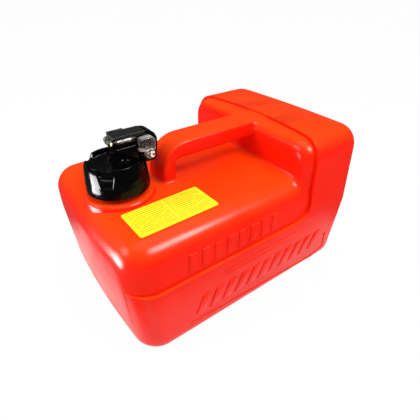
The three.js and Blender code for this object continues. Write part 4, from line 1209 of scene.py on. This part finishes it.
basket = spun_shape([
    (2.9, 16.7), (2.9, 15.1), (5.9, 15.1), (5.9, 11), (7.5, 11), (7.5, 25), (4.3, 25), (4.3, 16.7),
], 64, PIPE.xy)
soften(basket, 0.35, 2)
slots = [moved(turned(box_shape(5, 9, -0.7, 0.7, 12.2, 14.6), step * math.pi / 6), PIPE)
         for step in range(12)]
basket = cut(basket, *slots)
natural_plastic = plain_finish(
    "natural_plastic", 120, (colour(222, 220, 208), colour(238, 237, 228)), (0.36, 0.15),
    (1500, 0.00005, 0.5), IOR=1.46)
finished(basket, "strainer_basket", "cap", natural_plastic,
         ["pickup_strainer"], OVER_NECK)

# %% [markdown]
# ## The vent screw and the seals
# The vent is a small knob with grip flutes, opened a turn while the engine runs. The seals are
# turned rubber rings. The flat gasket, the valve and its spring already have the right shape in
# the solid model, so they only get their finish.

# %% Vent screw
VENT = Vector((4, -19.4, 0))
VENT_FOOT, VENT_TOP = 202.4, 206.4
knob = spun_shape([
    (0, VENT_FOOT), (7.6, VENT_FOOT), (7.6, VENT_TOP), (5.6, VENT_TOP), (5.0, VENT_TOP - 0.7),
    (0, VENT_TOP - 0.7),
], 96, VENT.xy, closed=False)
flutes = []
for step in range(12):
    middle = VENT + Matrix.Rotation(step * math.pi / 6, 3, "Z") @ Vector((8.4, 0, 0))
    flutes.append(rod_shape(1.6, (middle.x, middle.y, 200), (middle.x, middle.y, 210), 24))
knob = cut(knob, *flutes)
soften(knob, 0.35, 3, 50)
pointer = box_shape(
    VENT.x - 0.7, VENT.x + 0.7, VENT.y - 4.4, VENT.y + 4.4, VENT_TOP - 1.5, VENT_TOP)
round_edges(pointer, 0.3, 2)
knob = joined(knob, pointer, post(2, VENT, 195.8, VENT_FOOT + 0.3))
finished(knob, "vent_knob", "vent", gloss, ["vent_screw"], OVER_NECK)

# %% Seals, valve and its spring
vent_ring = spun_shape([(2.3, 201.1), (4, 201.1), (4, 202.1), (2.3, 202.1)], 48, VENT.xy)
soften(vent_ring, 0.35, 3)
finished(vent_ring, "vent_washer", "vent", rubber, ["vent_seal"], OVER_NECK)

seal_profile = [(4 + 0.9 * math.cos(turn * math.pi / 10), 26 + 0.9 * math.sin(turn * math.pi / 10))
                for turn in range(20)]
hose_seal = laid_along_y(spun_shape(seal_profile, 64), OUTLET_X, OUTLET_Z)
finished(hose_seal, "hose_seal", "cap", rubber, ["outlet_seal"], OVER_NECK, 60)

dress("cap_gasket", rubber)
dress("check_valve", brass)
dress("valve_spring", spring_wire)

# %% [markdown]
# ## Floor, light and camera
# The photograph is a plain studio shot: a white surround, broad soft light and almost no shadow.
# The floor takes the shadow and is made near white for the camera, and the world is white behind
# it. Three soft lamps light the part at a plain level, so that each colour comes out about as it
# was written. Two cards are seen only in glossy reflections, as a photographer's reflectors are:
# they draw the bright lines on black plastic and round edges. Floor and world are dimmed in
# reflections, because a white room would veil the red and the black with grey.

# %% The floor
def floor_finish():
    finish = Finish("white_floor")
    finish.tree.nodes.remove(finish.shader)
    path = finish.node("ShaderNodeLightPath")
    seen = Value(finish, path.socket.node.outputs["Is Camera Ray"])
    mirrored = Value(finish, path.socket.node.outputs["Is Glossy Ray"])
    through = Value(finish, path.socket.node.outputs["Is Transmission Ray"])
    plain = finish.node("ShaderNodeBsdfDiffuse", None, {"Color": (0.9, 0.9, 0.9, 1)})
    x, y, _ = finish.axes(finish.place())
    half_long, half_wide = LENGTH / 2 * MILLIMETRE, WIDTH / 2 * MILLIMETRE
    away = (abs(x) - half_long).most(abs(y) - half_wide)
    # In reflections the floor is painted brighter round the tank, a painted pool of light that the
    # lower walls reflect; further away it is dimmed.
    dimmed = 0.1 + 0.8 * (1 - away.fade(0.02, 0.10))
    white = finish.node("ShaderNodeEmission", None, {
        "Color": (1, 1, 1, 1), "Strength": 1 + mirrored * (dimmed - 1)})
    share = (seen * 0.97).most(mirrored).most(through)
    surface = finish.node("ShaderNodeMixShader", None, {0: share, 1: plain, 2: white})
    out = finish.tree.nodes["Material Output"]
    finish.tree.links.new(surface.socket, out.inputs["Surface"])
    return finish


floor_plan = bmesh.new()
bmesh.ops.create_grid(floor_plan, x_segments=4, y_segments=4, size=9)
floor = on_object(floor_plan, "studio_floor")
floor.data.materials.append(floor_finish().material)
print("floor is", floor.dimensions.x, "metres wide")


# %% The lamps and the world
def soft_lamp(name, place, aim, size, watts, only_gloss=False):
    lamp = bpy.data.lights.new(name, "AREA")
    lamp.shape = "RECTANGLE"
    lamp.size, lamp.size_y = size
    lamp.energy = watts
    made = bpy.data.objects.new(name, lamp)
    made.location = place
    made.rotation_euler = (Vector(aim) - Vector(place)).to_track_quat("-Z", "Y").to_euler()
    made.visible_camera = False
    made.visible_transmission = False
    made.visible_diffuse = not only_gloss
    bpy.context.scene.collection.objects.link(made)
    print(name, "gives", watts, "watts")
    return made


soft_lamp("left_box", (-1.25, 0.5, 1.0), (-0.1, 0, 0.1), (0.6, 0.6), 14)
soft_lamp("right_box", (0.3, -0.75, 1.35), (0, 0, 0.1), (0.6, 0.5), 14)
soft_lamp("overhead_box", (0, 0.1, 1.6), (0, 0, 0.1), (1.4, 1.0), 8)
soft_lamp("edge_card", (0.42, -0.78, 1.2), (0, 0, 0.15), (0.35, 0.35), 16, True)
soft_lamp("low_card", (-0.473, 0.068, 0.1), (-0.155, -0.02, 0.18), (0.2, 0.15), 4.2, True)

world = bpy.data.worlds.new("studio")
bpy.context.scene.world = world
world.use_nodes = True
world_nodes = world.node_tree.nodes
sky = world_nodes["Background"]
sky.inputs["Color"].default_value = (1, 1, 1, 1)
path = world_nodes.new("ShaderNodeLightPath")
AWAY_LEVEL, GLOSS_LEVEL = 0.5, 0.06


def world_sum(operation, first, second):
    """A Math node of the world between links or plain numbers."""
    made = world_nodes.new("ShaderNodeMath")
    made.operation = operation
    for place, term in enumerate((first, second)):
        if isinstance(term, bpy.types.NodeSocket):
            world.node_tree.links.new(term, made.inputs[place])
        else:
            made.inputs[place].default_value = term
    return made.outputs[0]


seen = world_sum("MAXIMUM", path.outputs["Is Camera Ray"], path.outputs["Is Transmission Ray"])
plain_level = world_sum("MULTIPLY_ADD", path.outputs["Is Glossy Ray"], GLOSS_LEVEL - AWAY_LEVEL)
plain_level.node.inputs[2].default_value = AWAY_LEVEL
world.node_tree.links.new(world_sum("MAXIMUM", seen, plain_level), sky.inputs["Strength"])
print("world light away from the camera:", AWAY_LEVEL)

# %% The camera, worked out from the photograph's vanishing points
camera_lens = bpy.data.cameras.new("photo_view")
camera_lens.sensor_width = 36
camera_lens.sensor_fit = "HORIZONTAL"
camera_lens.lens = 29.49
camera_lens.clip_start = 0.01
camera = bpy.data.objects.new("photo_view", camera_lens)
camera.location = (-0.2426, -0.343, 0.3782)
heading, dip = math.radians(53.6), math.radians(35.4)
looking = Vector((
    math.cos(heading) * math.cos(dip), math.sin(heading) * math.cos(dip), -math.sin(dip)))
camera.rotation_euler = looking.to_track_quat("-Z", "Y").to_euler()
bpy.context.scene.collection.objects.link(camera)
bpy.context.scene.camera = camera
bpy.context.scene.view_settings.view_transform = "Standard"
print("camera looks along", looking)
